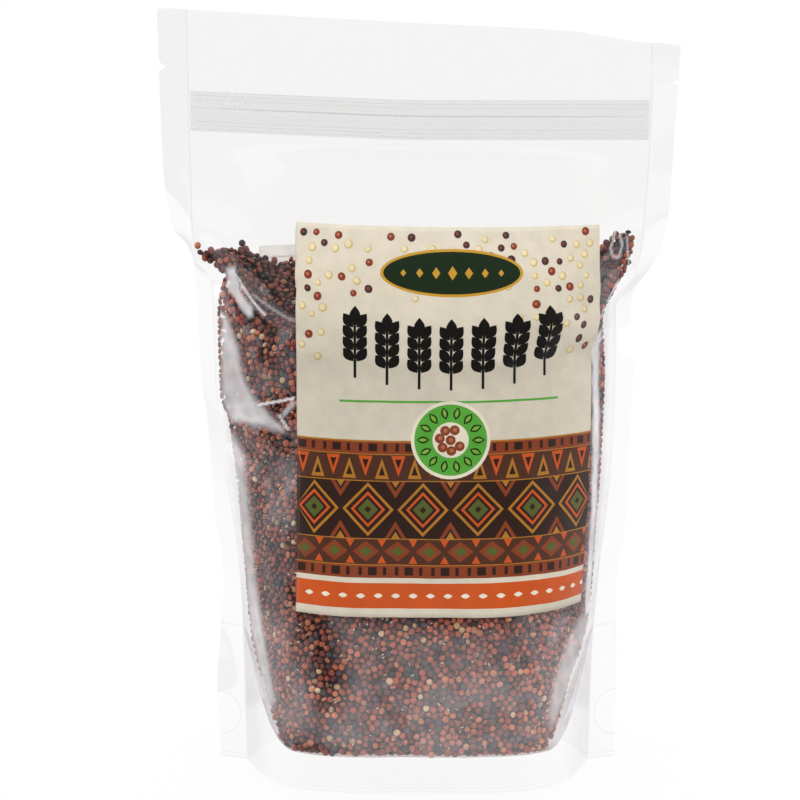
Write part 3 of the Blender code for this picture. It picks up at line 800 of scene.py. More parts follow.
# %% [markdown]
# ## Laying the grains
# A layer of grains lies against the film on both faces, on the heap, the narrow sides and the
# base film.  On the faces and the heap a second, looser layer behind it fills the gaps.  Grains
# under the labels can't be seen and are left out.  Near the film most grains lie flat against
# it; others stand on edge.

# %% Collect places for all layers
LABEL_FRONT = (8.1, 99.4, 82.5, 103.0, 0.006)
LABEL_BACK = (-3.0, 90.3, 80.1, 102.5, 0.0)


def under_label(across, height, label, margin):
    """True where a film point is under a label, further in than the margin."""
    middle, level, wide, tall, _ = label
    return (np.abs(across - middle) < wide / 2 - margin) & (np.abs(height - level) < tall / 2 - margin)


# Painted shade and light on the grains, as runs like the folds': darker where film stands off
# and would keep light out, lighter in the low middle, which the pale table would brighten.
PAINTED_SHADES = (
    (-43, 46, -24, 41, 5.0, 0.30), (-37, 12, -27, 9, 4.0, 0.28), (43, 44.5, 50, 46, 3.0, 0.45),
    (-52, 74, -46, 56, 5.0, 0.3), (-41, 84, -40, 54, 6.0, 0.28), (-50, 122, -40, 112, 6.0, 0.12),
    (-48, 106, -38, 96, 6.0, 0.18),
    (-42, 92, -36, 88, 3.0, 0.2), (-10, 32, 34, 26, 14.0, -0.16),
)
grain_rows = []


def add_layer(point, normal, flatness, seed, sink, light):
    """Adds grains at film points: centres moved inwards by the grain's own half extent along
    the normal and by sink.  flatness is the share of grains that lie flat on the film, and light
    the painted share of light for the layer, which dims its colour as painted shade."""
    rng = np.random.default_rng(seed)
    n = len(point)
    radius = rng.normal(1.0, 0.075, n).clip(0.82, 1.18) * 0.97
    thin = rng.normal(1.0, 0.1, n).clip(0.75, 1.25)
    tilt = np.where(rng.random(n) < flatness, np.abs(rng.normal(0, 0.28, n)), rng.uniform(0.4, 1.57, n))
    extent = np.hypot(radius * np.sin(tilt), 0.52 * thin * radius * np.cos(tilt))
    turn, spin = rng.uniform(0, 2 * np.pi, n), rng.uniform(0, 2 * np.pi, n)
    centre = point - normal * ((extent + 0.12 + sink)[:, None] * MM)
    grain_rows.append({"centre": centre, "frame": frames_from(normal, tilt, turn, spin), "radius": radius,
                       "thin": thin, "dice": rng.random((n, 3)), "light": light})
    return n


def face_layer(face, spacing, sink, flatness, seed, low_from=0.6):
    """Grains against one face of the bag, from the base seal up to the fill line."""
    place = shaken_places(2 * HALF_TUBE, 140, spacing, seed)
    across, height = place[:, 0] - HALF_TUBE, place[:, 1] + 8
    fill = curve(FRONT_FILL if face < 0 else BACK_FILL, across)
    fill = fill + 0.8 * np.sin(2.3 * across) * np.sin(0.9 * across + 1)
    depth = (film(across, height, 1)[:, 1] - film(across, height, -1)[:, 1]) / MM
    least = (1.5 if face < 0 else 3.4) + sink * 2.6
    keep = (height > base_seal(across) + low_from) & (height < fill) & (depth > least)
    keep &= ~under_label(across, height, LABEL_FRONT if face < 0 else LABEL_BACK, 4.0 + sink)
    across, height = across[keep], height[keep]
    point = film(across, height, face)
    keep = within_reach(point, 0.9)
    # painted shade: darker in the runs of PAINTED_SHADES, and the deeper layer at about a third
    light = (1 - folds(PAINTED_SHADES, across, height)[keep]) * (1.0 if sink == 0 else 0.36)
    return add_layer(point[keep], outward(across, height, face)[keep], flatness, seed + 1, sink, light)


def facing(surface, across, t):
    """Unit normals of a surface that is a function of across and t: the cross product of its
    slopes along both."""
    along = surface(across + 0.3, t) - surface(across - 0.3, t)
    normal = np.cross(along, surface(across, t + 0.01) - surface(across, t - 0.01))
    return normal / np.linalg.norm(normal, axis=1, keepdims=True)


def heap_layer(spacing, sink, seed):
    """Grains on the sloping heap, laid out in plan and lifted to its surface."""
    place = shaken_places(2 * HALF_TUBE, 56, spacing, seed)
    table = np.linspace(-HALF_TUBE, HALF_TUBE, 253)
    edge_x = film(table, curve(FRONT_FILL, table), -1)[:, 0] / MM
    x = place[:, 0] - HALF_TUBE
    across = np.interp(x, edge_x, table)
    front = film(across, curve(FRONT_FILL, across), -1)[:, 1] / MM
    back = film(across, curve(BACK_FILL, across), 1)[:, 1] / MM
    deep = back - front
    t = (place[:, 1] - 29 - front) / deep
    keep = (t * deep > 1.5) & ((1 - t) * deep > 1.4) & (deep > 4.6) & (np.abs(x) < HALF_TUBE - 0.5)
    across, t = across[keep], t[keep]
    here, normal = heap_top(across, t), facing(heap_top, across, t)
    keep = within_reach(here, 0.8)
    # painted shade: the heap lies in shade behind the film, its deeper layer darker still
    light = np.full(len(here), 0.46 if sink == 0 else 0.2)[keep]
    return add_layer((here + normal * 1.0 * MM)[keep], normal[keep], 0.45, seed + 1, sink, light)


def side_layer(side, spacing, seed):
    """Grains on the narrow side of the filling, left (-1) or right (1), between the two faces,
    and one close column along its middle, which draws the beaded outline."""
    rng = np.random.default_rng(seed + 2)
    place = shaken_places(60, 140, spacing, seed)
    beads = 72
    bead = np.stack([rng.uniform(29.4, 30.6, beads),
                     np.arange(beads) * 1.72 + rng.uniform(-0.2, 0.2, beads)], axis=1)
    place = np.concatenate([place, bead])
    height = place[:, 1] + 10
    reach = side * (curve(LEFT_GRAIN if side < 0 else RIGHT_GRAIN, height) - 0.3)
    across = reach.copy()
    for _ in range(12):
        missing = reach - film(across, height, -1)[:, 0] / MM
        across = np.clip(across + missing, 0.5 - HALF_TUBE, HALF_TUBE - 0.5)
    front, back = film(across, height, -1), film(across, height, 1)
    deep = np.maximum((back - front)[:, 1] / MM, 0.1)
    t = np.clip((place[:, 0] - 30 - front[:, 1] / MM) / deep, 0, 1)
    fill = curve(FRONT_FILL, across) * (1 - t) + curve(BACK_FILL, across) * t
    first = len(place) - beads
    t[first:] = np.minimum(0.5, 1.3 / deep[first:])
    inset = np.minimum(0.499, 1.4 / deep)
    keep = (t > inset) & (t < 1 - inset)
    keep[first:] = deep[first:] > 1.6
    keep &= (height < fill - 0.5) & (height > base_seal(across) + 1.5)
    point = (front * (1 - t)[:, None] + back * t[:, None])[keep]
    normal = np.tile([float(side), 0.0, 0.0], (len(point), 1))
    return add_layer(point, normal, 0.5, seed + 1, 0.0, np.ones(len(point)))


def base_layer(spacing, seed):
    """Grains on the base film, seen from below."""
    place = shaken_places(2 * HALF_TUBE, 60, spacing, seed)
    across, t = place[:, 0] - HALF_TUBE, (place[:, 1] - 30) / 31
    keep = (np.abs(t) < 0.97) & (np.abs(across) < 58)
    across, t = across[keep], t[keep]
    here, normal = base_film(across, t), -facing(base_film, across, t)
    keep = within_reach(here, 0.6)
    return add_layer(here[keep], normal[keep], 0.7, seed + 1, 0.0, np.ones(keep.sum()))


counts = {
    "front": face_layer(-1, 1.88, 0.0, 0.62, 11), "front_deep": face_layer(-1, 2.0, 1.35, 0.3, 21, 2.0),
    "back": face_layer(1, 1.9, 0.0, 0.6, 31), "back_deep": face_layer(1, 2.1, 1.35, 0.3, 41, 2.0),
    "heap": heap_layer(1.85, 0.0, 51), "heap_deep": heap_layer(2.0, 1.3, 61),
    "base": base_layer(1.95, 71), "left": side_layer(-1, 1.95, 91), "right": side_layer(1, 1.95, 95),
}
print("grains", counts, sum(counts.values()))

# %% [markdown]
# ## Sorting the grains by colour
# Red quinoa is a mix: brick red, russet and maroon grains, some of a dark plum and a few pale
# ones.  Each kind is one mesh with its own material.  A point colour stores a random shade for
# each grain, how near the point is to the rim and how much light is painted onto the grain, so
# that the material can vary all three; it darkens the rim, where grains touch, as painted shade.

# %% One mesh for each kind of grain
shape_points, shape_faces, shape_rim = grain_shape()


def placed_copies(local, turned, centre):
    """Points and faces of many copies of the grain shape: local holds each copy's own points in
    millimetres, turned the matrix that turns it, and centre its place."""
    points = np.einsum("nij,nvj->nvi", turned, local * MM) + centre[:, None, :]
    faces = shape_faces[None] + (np.arange(len(local)) * len(shape_points))[:, None, None]
    return points.reshape(-1, 3), faces.reshape(-1, 3)


def make_grain_material(name, dark, mid, light):
    """Seed coat: a shade between dark and light for each grain, with painted shade that darkens it
    towards the rim and by the stored light share, fine speckle, a soft gloss and a slightly uneven surface."""
    material, tree, result = new_material(name)
    stored = add_node(tree, "ShaderNodeVertexColor", layer_name="grain").outputs[0]
    parts = add_node(tree, "ShaderNodeSeparateColor", in0=stored).outputs
    where = add_node(tree, "ShaderNodeTexCoord").outputs["Object"]
    speckle = noise(tree, where, 1500.0, 2.0)
    low = mix_colours(tree, step_up(tree, parts[0], 0.0, 0.5), dark, mid)
    shade = mix_colours(tree, step_up(tree, parts[0], 0.5, 1.0), low, light)
    # painted shade: darker towards the rim, where grains touch, and dimmed by the stored light share
    rim = step_up(tree, parts[1], 0.6, 1.0, 1.0, 0.38)
    cloud = step_up(tree, speckle, 0.3, 0.7, 0.8, 1.18)
    both = calc(tree, "MULTIPLY", calc(tree, "MULTIPLY", rim, cloud), parts[2])
    shader = principled(tree, dimmed(tree, shade, both), 0.32, {
        "Normal": uneven(tree, speckle, 0.5, 0.00012), "Specular IOR Level": 0.45})
    tree.links.new(shader.outputs[0], result.inputs[0])
    return material


KINDS = (
    ("grain_brick", 0.22, linear(112, 42, 30), linear(150, 60, 39), linear(175, 82, 53)),
    ("grain_rust", 0.215, linear(104, 42, 31), linear(142, 59, 39), linear(168, 81, 54)),
    ("grain_russet", 0.22, linear(152, 72, 45), linear(177, 93, 58), linear(195, 118, 81)),
    ("grain_maroon", 0.20, linear(82, 37, 34), linear(109, 50, 42), linear(131, 66, 54)),
    ("grain_plum", 0.105, linear(48, 36, 42), linear(68, 50, 56), linear(90, 68, 72)),
    ("grain_pale", 0.04, linear(160, 112, 76), linear(188, 146, 104), linear(210, 182, 142)),
)
every = {key: np.concatenate([row[key] for row in grain_rows]) for key in grain_rows[0]}
limit = np.cumsum([kind[1] for kind in KINDS])
which = np.searchsorted(limit, every["dice"][:, 0].clip(0, 0.9999))
for number, (name, _, dark, mid, light) in enumerate(KINDS):
    chosen = np.nonzero(which == number)[0]
    size = every["radius"][chosen]
    axes = np.stack([size, size * 0.97, size * every["thin"][chosen]], axis=1)
    local = shape_points[None] * axes[:, None, :]
    points, faces = placed_copies(local, every["frame"][chosen], every["centre"][chosen])
    piece = new_piece(name, points, faces, make_grain_material(name, dark, mid, light))
    shade = np.repeat(every["dice"][chosen, 1], len(shape_points))
    rim = np.tile(shape_rim, len(chosen))
    # the painted share of light for each grain
    light = np.repeat(every["light"][chosen], len(shape_points))
    give_colours(piece, "grain", np.stack([shade, rim, light, np.ones(len(shade))], axis=1))
    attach(piece, "root")
    print(name, len(chosen), "grains,", len(faces), "triangles")

# %% [markdown]
# ## Flecks of husk
# Here and there a pale curl of husk, a tenth of a millimetre thick and about a millimetre long,
# lies between film and grain.  The same tablet shape is squeezed to a splinter for these.

# %% Flecks on both faces
def scatter_flecks(count, seed):
    """Points and faces of splinters at random places on both faces, below the fill lines."""
    rng = np.random.default_rng(seed)
    face = rng.choice([-1, 1], count)
    across, height = rng.uniform(-58, 58, count), rng.uniform(12, 118, count)
    inside = (height > base_seal(across) + 1.5)
    point, normal = np.zeros((count, 3)), np.zeros((count, 3))
    for side, label in ((-1, LABEL_FRONT), (1, LABEL_BACK)):
        mine = face == side
        inside[mine] &= ~under_label(across[mine], height[mine], label, 0.0)
        point[mine] = film(across[mine], height[mine], side)
        normal[mine] = outward(across[mine], height[mine], side)
    inside &= within_reach(point, 1.5)
    point, normal = point[inside], normal[inside]
    n = len(point)
    turned = frames_from(normal, rng.normal(0, 0.3, n), rng.uniform(0, 6.3, n), rng.uniform(0, 6.3, n))
    size = np.stack([rng.uniform(0.3, 0.6, n), rng.uniform(0.1, 0.2, n), np.full(n, 0.12)], axis=1)
    flat = shape_points[None] * size[:, None, :]
    flat[:, :, 1] += 0.35 * flat[:, :, 0] ** 2 / size[:, :1]
    return placed_copies(flat, turned, point - normal * 0.25 * MM)


points, faces = scatter_flecks(1300, 81)
flecks = new_piece("husk_flecks", points, faces, make_grain_material(
    "husk", linear(190, 160, 120), linear(214, 190, 152), linear(236, 220, 190)))
n = len(points) // len(shape_points)
shade = np.repeat(np.random.default_rng(82).random(n), len(shape_points))
full = np.ones(len(shade))
give_colours(flecks, "grain", np.stack([shade, shade * 0.4, full, full], axis=1))
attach(flecks, "root")
print("husk_flecks", n)

# %% [markdown]
# ## The label's print
# A label is one sheet with fields of flat colour.  To keep the edges of each shape crisp, the
# mesh itself follows them: every shape is a polygon, a triangulation joins them all, and each
# triangle takes the colour of the topmost shape that covers it.  The design is a plain one in
# the usual colours of such packs: bands of diamonds and triangles under a sandy field.

# %% Drawing tools: each shape is (colour name, list of corners), the later on top
INK = {
    "sand": linear(219, 210, 191), "brown": linear(84, 50, 36), "orange": linear(206, 88, 34),
    "ochre": linear(180, 122, 44), "rust": linear(140, 66, 38), "moss": linear(92, 98, 46),
    "green": linear(92, 172, 62), "forest": linear(28, 44, 26), "gold": linear(198, 150, 44),
    "black": linear(24, 22, 20), "seed red": linear(134, 58, 40), "seed plum": linear(74, 50, 52),
    "seed ring": linear(206, 182, 124), "seed light": linear(232, 216, 174), "cocoa": linear(140, 70, 44),
    "cream": linear(236, 228, 206), "leaf": linear(132, 184, 60), "tan": linear(190, 112, 78),
    "dark": linear(52, 34, 28), "paper": linear(250, 248, 245), "grey": linear(168, 166, 162),
}


def box(x0, y0, x1, y1):
    """Corners of an upright rectangle."""
    return [(x0, y0), (x1, y0), (x1, y1), (x0, y1)]


def disc(x, y, radius, count=20, squash=1.0, turn=0.0):
    """Corners of a circle, or of an oval turned by an angle."""
    angle = np.arange(count) * 2 * np.pi / count
    u, v = radius * np.cos(angle), radius * squash * np.sin(angle)
    return list(zip(x + u * np.cos(turn) - v * np.sin(turn), y + u * np.sin(turn) + v * np.cos(turn)))


def diamond(x, y, half_wide, half_tall):
    """Corners of a diamond."""
    return [(x - half_wide, y), (x, y - half_tall), (x + half_wide, y), (x, y + half_tall)]


def leaf(x, y, length, wide, turn, count=9):
    """A pointed leaf from its stalk end: two arcs of the form wide * sin(pi * s)."""
    s = np.linspace(0, 1, count)
    u = np.concatenate([s, s[-2:0:-1]]) * length
    v = np.concatenate([np.sin(np.pi * s), -np.sin(np.pi * s[-2:0:-1])]) * wide / 2
    return list(zip(x + u * np.cos(turn) - v * np.sin(turn), y + u * np.sin(turn) + v * np.cos(turn)))


def fan(x, level, half, tip):
    """Corners of an upright triangle with its foot at level and its tip at height tip."""
    return [(x - half, level), (x + half, level), (x, tip)]


def ear(shapes, ink, x, y, tall, wide):
    """An ear of grain: a thin stalk with pairs of small leaves and one at the tip."""
    shapes.append((ink, box(x - wide * 0.045, y, x + wide * 0.045, y + tall * 0.8)))
    for k in range(4):
        level = y + tall * (0.24 + 0.16 * k)
        for side in (-1, 1):
            turn = np.pi / 2 - side * 0.62
            shapes.append((ink, leaf(x + side * wide * 0.06, level, tall * 0.24, wide * 0.34, turn)))
    shapes.append((ink, leaf(x, y + tall * 0.76, tall * 0.26, wide * 0.36, np.pi / 2)))


# %% [markdown]
# ## Design of the front label
# A plain design in the usual colours of such packs, without lettering: a sandy field with
# seeds strewn along its upper edge and a bare dark cartouche, a row of ears, and across the
# foot a panel of traditional woven bands (diamonds, triangles, steps) over an orange stripe.

# %% Bands of the woven panel, each drawn between two heights
NESTED = (("ochre", 0.93), ("dark", 0.8), ("orange", 0.62), ("dark", 0.5), ("moss", 0.37), ("dark", 0.12))


def band_of_diamonds(shapes, wide, low, tall, pitch):
    """Large diamonds one inside the other, with triangles that fill the gaps between them."""
    middle, half = low + tall / 2, tall / 2
    for x in np.arange(pitch * 0.35, wide + pitch, pitch):
        for ink, size in NESTED:
            shapes.append((ink, diamond(x, middle, half * size * 0.94, half * size)))
        for side in (-1, 1):
            for ink, size in (("rust", 1.0), ("dark", 0.62), ("ochre", 0.4)):
                tip = middle + side * half * (1 - 0.6 * size)
                shapes.append((ink, fan(x + pitch / 2, middle + side * half, 2.9 * size, tip)))


def band_of_triangles(shapes, wide, low, tall, pitch):
    """Triangles that stand and hang by turns, each with a smaller dark one inside."""
    for k, x in enumerate(np.arange(pitch * 0.4, wide + pitch, pitch)):
        foot, tip = (low, low + tall) if k % 2 else (low + tall, low)
        for ink, size in ((("orange", "ochre")[k % 2], 0.86), ("dark", 0.4)):
            level = foot + (tip - foot) * (0.07 if size > 0.5 else 0.2)
            shapes.append((ink, fan(x, level, pitch * size / 2, level + (tip - foot) * size * 0.9)))


def band_of_eyes(shapes, wide, low, tall, pitch):
    """Low diamonds with a dark middle, and a small orange triangle above and below each gap."""
    middle = low + tall / 2
    for x in np.arange(pitch * 0.3, wide + pitch, pitch):
        shapes.append(("rust", diamond(x, middle, pitch * 0.42, tall * 0.4)))
        shapes.append(("moss", diamond(x, middle, pitch * 0.22, tall * 0.2)))
        for side in (-1, 1):
            level, tip = middle + side * tall * 0.46, middle + side * tall * 0.16
            shapes.append(("orange", fan(x + pitch / 2, level, pitch * 0.14, tip)))


def band_of_steps(shapes, wide, low, tall, pitch):
    """Short posts, every third one broad."""
    for k, x in enumerate(np.arange(pitch / 2, wide, pitch)):
        half = pitch * (0.36 if k % 3 == 0 else 0.14)
        shapes.append(("dark", box(x - half, low + tall * 0.2, x + half, low + tall * 0.8)))


PANEL = (
    ("rust", 3.6, band_of_steps, 3.2), ("brown", 7.0, band_of_eyes, 8.3),
    ("dark", 15.5, band_of_diamonds, 14.5), ("brown", 7.2, band_of_triangles, 4.3),
    ("rust", 3.4, band_of_steps, 3.2),
)


# %% Shapes of the front label, in millimetres from its lower left corner
# (rim, middle) of each kind of seed; the pale kind stands twice, so it comes twice as often
SEED_INKS = (("seed ring", "seed light"), ("seed red", "tan"), ("seed plum", "cocoa"),
             ("seed ring", "seed light"))


def strewn_seeds(shapes, wide, low, tall):
    """Seeds thrown along the upper edge, thick at both corners and thin in the middle."""
    rng = np.random.default_rng(5)
    for x, y in shaken_places(wide - 2, tall, 3.6, 9) + (1.2, 0):
        crowd = abs(2 * x / wide - 1) * 0.75 + 0.9 * y / tall - 0.45
        if rng.random() > crowd or y > tall - 1.4 or not 1.3 < x < wide - 1.3:
            continue
        radius = rng.uniform(0.85, 1.15)
        outer, inner = SEED_INKS[rng.integers(4)]
        share = 0.72 if outer == "seed ring" else 0.36
        shapes.append((outer, disc(x, low + y, radius, 14)))
        shapes.append((inner, disc(x - 0.15, low + y + 0.15, radius * share, 10)))


def roundel(shapes, x, y, radius):
    """A green disc with a ring of leaves round a ring of brown grains."""
    shapes.append(("cream", disc(x, y, radius + 0.9, 48)))
    shapes.append(("green", disc(x, y, radius, 48)))
    for k in range(14):
        turn = 2 * np.pi * k / 14
        for ink, start, length, broad in (("forest", 0.58, 0.36, 0.2), ("leaf", 0.64, 0.25, 0.1)):
            u, v = x + radius * start * np.cos(turn), y + radius * start * np.sin(turn)
            shapes.append((ink, leaf(u, v, radius * length, radius * broad, turn)))
    shapes.append(("cream", disc(x, y, radius * 0.5, 32)))
    for k in range(7):
        turn = 2 * np.pi * k / 7 + 0.3
        reach = 0.3 * radius * (k > 0)
        u, v = x + reach * np.cos(turn), y + reach * np.sin(turn)
        shapes.append(("cocoa", disc(u, v, radius * 0.14, 12)))
        shapes.append(("tan", disc(u + 0.1, v + 0.1, radius * 0.06, 8)))


def front_print(wide, tall):
    """The list of shapes of the front label."""
    shapes = [("sand", box(0, 0, wide, tall))]
    low = 10.6
    for ink, height, draw, pitch in PANEL:
        shapes.append((ink, box(0, low, wide, low + height)))
        draw(shapes, wide, low, height, pitch)
        low += height
        shapes.append(("ochre", box(0, low - 0.25, wide, low + 0.2)))
    shapes.append(("orange", box(0, 2.4, wide, 9.2)))
    for x in np.arange(4.0, wide, 4.6):
        shapes.append(("cream", leaf(x - 1.2, 5.8, 2.4, 1.3, 0.0, 7)))
    strewn_seeds(shapes, wide, 68.0, 35.0)
    middle = wide / 2
    shapes.append(("gold", disc(middle, 91.5, 18.5, 48, 0.33)))
    shapes.append(("forest", disc(middle, 91.5, 17.7, 48, 0.305)))
    for k in range(-3, 4):
        shapes.append(("gold", diamond(middle + 4.2 * k, 91.5, 1.2 - 0.15 * abs(k), 1.8 - 0.3 * abs(k))))
    for k in range(-3, 4):
        ear(shapes, "black", middle + 8.4 * k, 61.0 + 0.35 * k * k, 18.5, 8.0)
    shapes.append(("green", box(12.0, 57.6, wide - 12.0, 58.2)))
    roundel(shapes, middle, low + 0.4, 9.6)
    return shapes


def back_print(wide, tall):
    """The back label is plain: a thin frame line and a few pale grey rules."""
    shapes = [("paper", box(0, 0, wide, tall)), ("grey", box(3, 3, wide - 3, tall - 3)),
              ("paper", box(3.3, 3.3, wide - 3.3, tall - 3.3))]
    for k in range(16):
        shapes.append(("grey", box(8, 14 + 5 * k, wide - 8 - (k * 7) % 19, 14.5 + 5 * k)))
    return shapes


# %% Triangulate a print: each triangle gets the colour of the topmost shape over it
def printed_sheet(shapes, wide, tall):
    """Corners and triangles of the sheet, and a colour for each triangle."""
    shapes = [(ink, [(min(max(x, 0.0), wide), min(max(y, 0.0), tall)) for x, y in corners])
              for ink, corners in shapes]
    points, edges = [], []
    for _, corners in shapes:
        start = len(points)
        for corner, after in zip(corners, corners[1:] + corners[:1]):
            parts = int(np.hypot(after[0] - corner[0], after[1] - corner[1]) / 1.5) + 1
            points += [Vector(corner).lerp(Vector(after), k / parts) for k in range(parts)]
        count = len(points) - start
        edges += [(start + k, start + (k + 1) % count) for k in range(count)]
    for y in np.arange(1.3, tall, 1.5):
        points += [Vector((x, y)) for x in np.arange(1.1, wide, 1.5)]
    flat, _, triangles, _, _, _ = delaunay_2d_cdt(points, edges, [], 0, 1e-4)
    flat, triangles = np.array([tuple(p) for p in flat]), np.array([tuple(t) for t in triangles])
    corners = flat[triangles]
    side, other = corners[:, 1] - corners[:, 0], corners[:, 2] - corners[:, 0]
    area = side[:, 0] * other[:, 1] - side[:, 1] * other[:, 0]
    triangles[area < 0] = triangles[area < 0][:, ::-1]
    centre = corners.mean(axis=1)
    colours = np.tile(INK[shapes[0][0]], (len(triangles), 1))
    for ink, corners in shapes:
        low, high = np.min(corners, axis=0), np.max(corners, axis=0)
        near = np.nonzero(((centre >= low) & (centre <= high)).all(axis=1))[0]
        colours[near[inside_shape(centre[near], corners)]] = INK[ink]
    return flat, triangles, colours


def border_of(triangles):
    """The edges that only one triangle has, in that triangle's direction."""
    edges = np.concatenate([triangles[:, [0, 1]], triangles[:, [1, 2]], triangles[:, [2, 0]]])
    key = np.sort(edges, axis=1)
    _, first, count = np.unique(key, axis=0, return_index=True, return_counts=True)
    return edges[first[count == 1]]


def make_label(name, place, face, shapes, plain, material):
    """Wraps the printed sheet round the film and closes it with a plain inner side.  The fourth
    value of the ink is 1 on the printed side and 0 elsewhere."""
    middle, level, wide, tall, turn = place
    flat, triangles, colours = printed_sheet(shapes, wide, tall)
    u = (flat[:, 0] - wide / 2) * (1 if face < 0 else -1)
    v = flat[:, 1] - tall / 2
    across, height = middle + u * np.cos(turn) + v * np.sin(turn), level - u * np.sin(turn) + v * np.cos(turn)
    base, normal = film(across, height, face), outward(across, height, face)
    points = np.concatenate([base + normal * 0.26 * MM, base + normal * 0.1 * MM])
    n = len(flat)
    edge = border_of(triangles)
    walls = np.concatenate([np.stack([edge[:, 1], edge[:, 0], edge[:, 0] + n], axis=1),
                            np.stack([edge[:, 1], edge[:, 0] + n, edge[:, 1] + n], axis=1)])
    faces = np.concatenate([triangles, triangles[:, ::-1] + n, walls])
    piece = new_piece(name, points, faces, material)
    ink = np.concatenate([colours, np.tile((*plain[:3], 0.0), (len(faces) - len(triangles), 1))])
    layer = piece.data.color_attributes.new("ink", "FLOAT_COLOR", "CORNER")
    layer.data.foreach_set("color", np.repeat(ink, 3, axis=0).astype(np.float32).ravel())
    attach(piece, "root")
    print(name, len(faces), "triangles")
    return piece


# %% [markdown]
# ## Label stock
# The labels are thin plastic with a satin varnish.  The print's colour comes from the mesh, a
# faint mottle keeps it from looking like a screen, and light passes through: little towards an
# eye outside, more towards one that looks at the inner side through the bag.

# %% Label material and both labels
def make_label_material(name, roughness, through, through_inside):
    """Printed film: the ink colour with a faint mottle, satin gloss, and a share of light that
    passes through from behind, given for the outer and for the inner side."""
    material, tree, result = new_material(name)
    stored = add_node(tree, "ShaderNodeVertexColor", layer_name="ink")
    where = add_node(tree, "ShaderNodeTexCoord").outputs["Object"]
    mottle = step_up(tree, noise(tree, where, 260.0, 3.0), 0.3, 0.7, 0.96, 1.03)
    colour = dimmed(tree, stored.outputs[0], mottle)
    ripple = uneven(tree, noise(tree, where, 90.0, 2.0), 0.15, 0.0004)
    shader = principled(tree, colour, roughness, {"Normal": ripple, "Specular IOR Level": 0.3})
    glow = add_node(tree, "ShaderNodeBsdfTranslucent", in0=colour)
    behind = add_node(tree, "ShaderNodeNewGeometry").outputs["Backfacing"]
    outside = calc(tree, "MULTIPLY", stored.outputs[1], calc(tree, "SUBTRACT", 1.0, behind))
    share = calc(tree, "MULTIPLY_ADD", outside, through - through_inside, through_inside)
    both = add_node(tree, "ShaderNodeMixShader", in0=share, in1=shader.outputs[0], in2=glow.outputs[0])
    tree.links.new(both.outputs[0], result.inputs[0])
    return material


label_stock = make_label_material("label_stock", 0.34, 0.2, 0.6)
thin_stock = make_label_material("thin_stock", 0.4, 0.2, 0.85)
front_label = make_label("front_label", LABEL_FRONT, -1, front_print(*LABEL_FRONT[2:4]), INK["paper"],
                         label_stock)
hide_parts("label_front")
back_label = make_label("back_label", LABEL_BACK, 1, back_print(*LABEL_BACK[2:4]), INK["paper"], thin_stock)
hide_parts("label_back")

# %% [markdown]
# ## Floor, light and camera
# The pouch stands on a plain white sweep.  Two tall soft lights on each side draw the bright
# streaks along the film's edges, broad ones above and in front light the whole, and the pale
# surroundings fill the shadows.  The camera looks slightly down through a long lens.

# %% Floor
def make_floor_material():
    """A white table lit from below as well as from above, so shadows on it are faint."""
    material, tree, result = new_material("studio_floor")
    shader = principled(tree, (0.03, 0.03, 0.03, 1), 0.8, {
        "Emission Color": (1, 1, 1, 1), "Emission Strength": 0.918})
    tree.links.new(shader.outputs[0], result.inputs[0])
    return material


floor_x, floor_y = np.meshgrid(np.linspace(-3, 3, 13), np.linspace(-0.2, 6, 13))
floor_points = np.stack([floor_x, floor_y, np.full(floor_x.shape, -0.0002)], axis=-1)
floor = grid_piece("studio_floor", floor_points, make_floor_material())

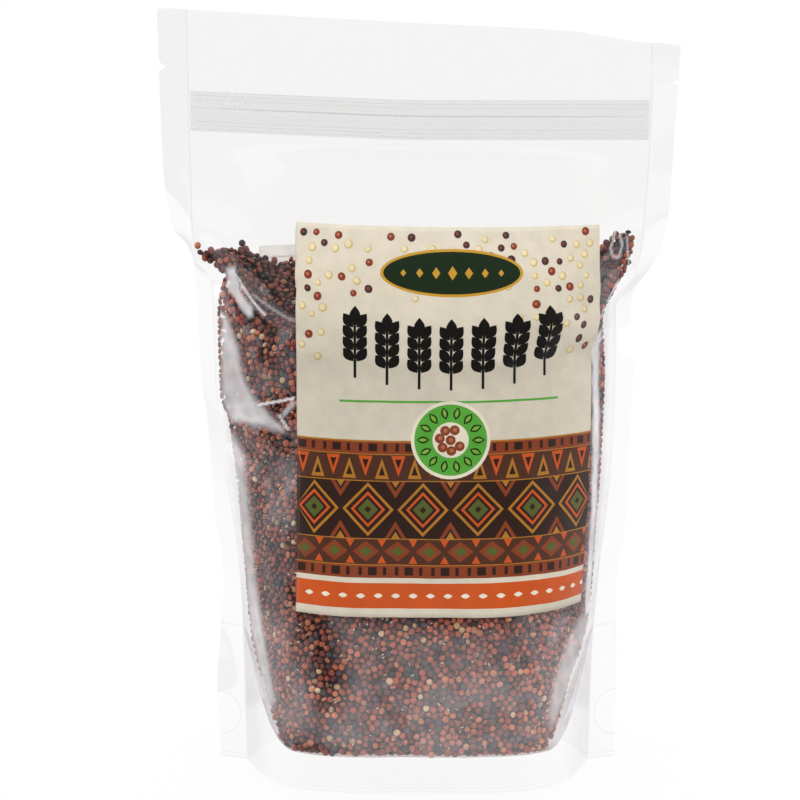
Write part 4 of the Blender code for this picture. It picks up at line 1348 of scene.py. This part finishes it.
# %% World and lights
world = bpy.data.worlds.new("pale_studio")
bpy.context.scene.world = world
world.use_nodes = True
tree = world.node_tree
tree.nodes.clear()
way = add_node(tree, "ShaderNodeTexCoord").outputs["Generated"]
toward = add_node(tree, "ShaderNodeSeparateXYZ", in0=way).outputs[1]
glow = step_up(tree, toward, -0.5, 0.25, 0.07, 0.9)
seen = add_node(tree, "ShaderNodeLightPath").outputs["Is Camera Ray"]
strength = add_node(tree, "ShaderNodeMix", data_type="FLOAT", in0=seen, in2=glow, in3=1.0).outputs[0]
sky = add_node(tree, "ShaderNodeBackground", in0=(1, 1, 1, 1), in1=strength)
tree.links.new(sky.outputs[0], add_node(tree, "ShaderNodeOutputWorld").inputs[0])


def soft_light(name, place, target, width, tall, brightness):
    """A rectangular soft light aimed at a point; brightness is what it looks like head on."""
    data = bpy.data.lights.new(name, "AREA")
    data.shape, data.size, data.size_y = "RECTANGLE", width, tall
    data.energy = brightness * np.pi * width * tall
    lamp = bpy.data.objects.new(name, data)
    lamp.location = place
    lamp.rotation_euler = (Vector(target) - Vector(place)).to_track_quat("-Z", "Y").to_euler()
    bpy.context.scene.collection.objects.link(lamp)
    return lamp


soft_light("left_light", (-1.0, 0.08, 0.35), (0, 0, 0.1), 0.5, 1.2, 1.4)
soft_light("left_strip", (-1.0, -0.62, 0.5), (0, 0, 0.1), 0.4, 1.0, 0.5)
soft_light("right_light", (1.0, 0.08, 0.35), (0, 0, 0.1), 0.5, 1.2, 1.4)
soft_light("right_strip", (1.0, -0.5, 0.4), (0, 0, 0.1), 0.4, 1.0, 0.5)
# These two light the pouch but aren't mirrored in its film, as if through crossed polarisers
for lamp in (soft_light("top_light", (0.0, -0.5, 1.3), (0, 0, 0.1), 1.6, 1.0, 3.4),
             soft_light("front_fill", (0.0, -1.6, 0.5), (0, 0, 0.1), 1.6, 1.2, 1.85)):
    lamp.visible_glossy = False

# %% Camera
ELEVATION = np.radians(10.2)
DISTANCE, SCALE = 1.0224, 0.2735 * MM
SENSOR, PIXELS = 36, 800
data = bpy.data.cameras.new("camera")
data.sensor_width = SENSOR
data.lens = DISTANCE / SCALE * SENSOR / PIXELS
data.shift_x, data.shift_y = -20 / PIXELS, -2.84 / PIXELS
data.clip_start = 0.05
camera = bpy.data.objects.new("camera", data)
camera.location = (0, -DISTANCE * np.cos(ELEVATION), 0.1022 + DISTANCE * np.sin(ELEVATION))
camera.rotation_euler = (np.pi / 2 - ELEVATION, 0, 0)
bpy.context.scene.collection.objects.link(camera)
bpy.context.scene.camera = camera
bpy.context.scene.view_settings.view_transform = "Standard"
bpy.context.scene.view_settings.look = "None"
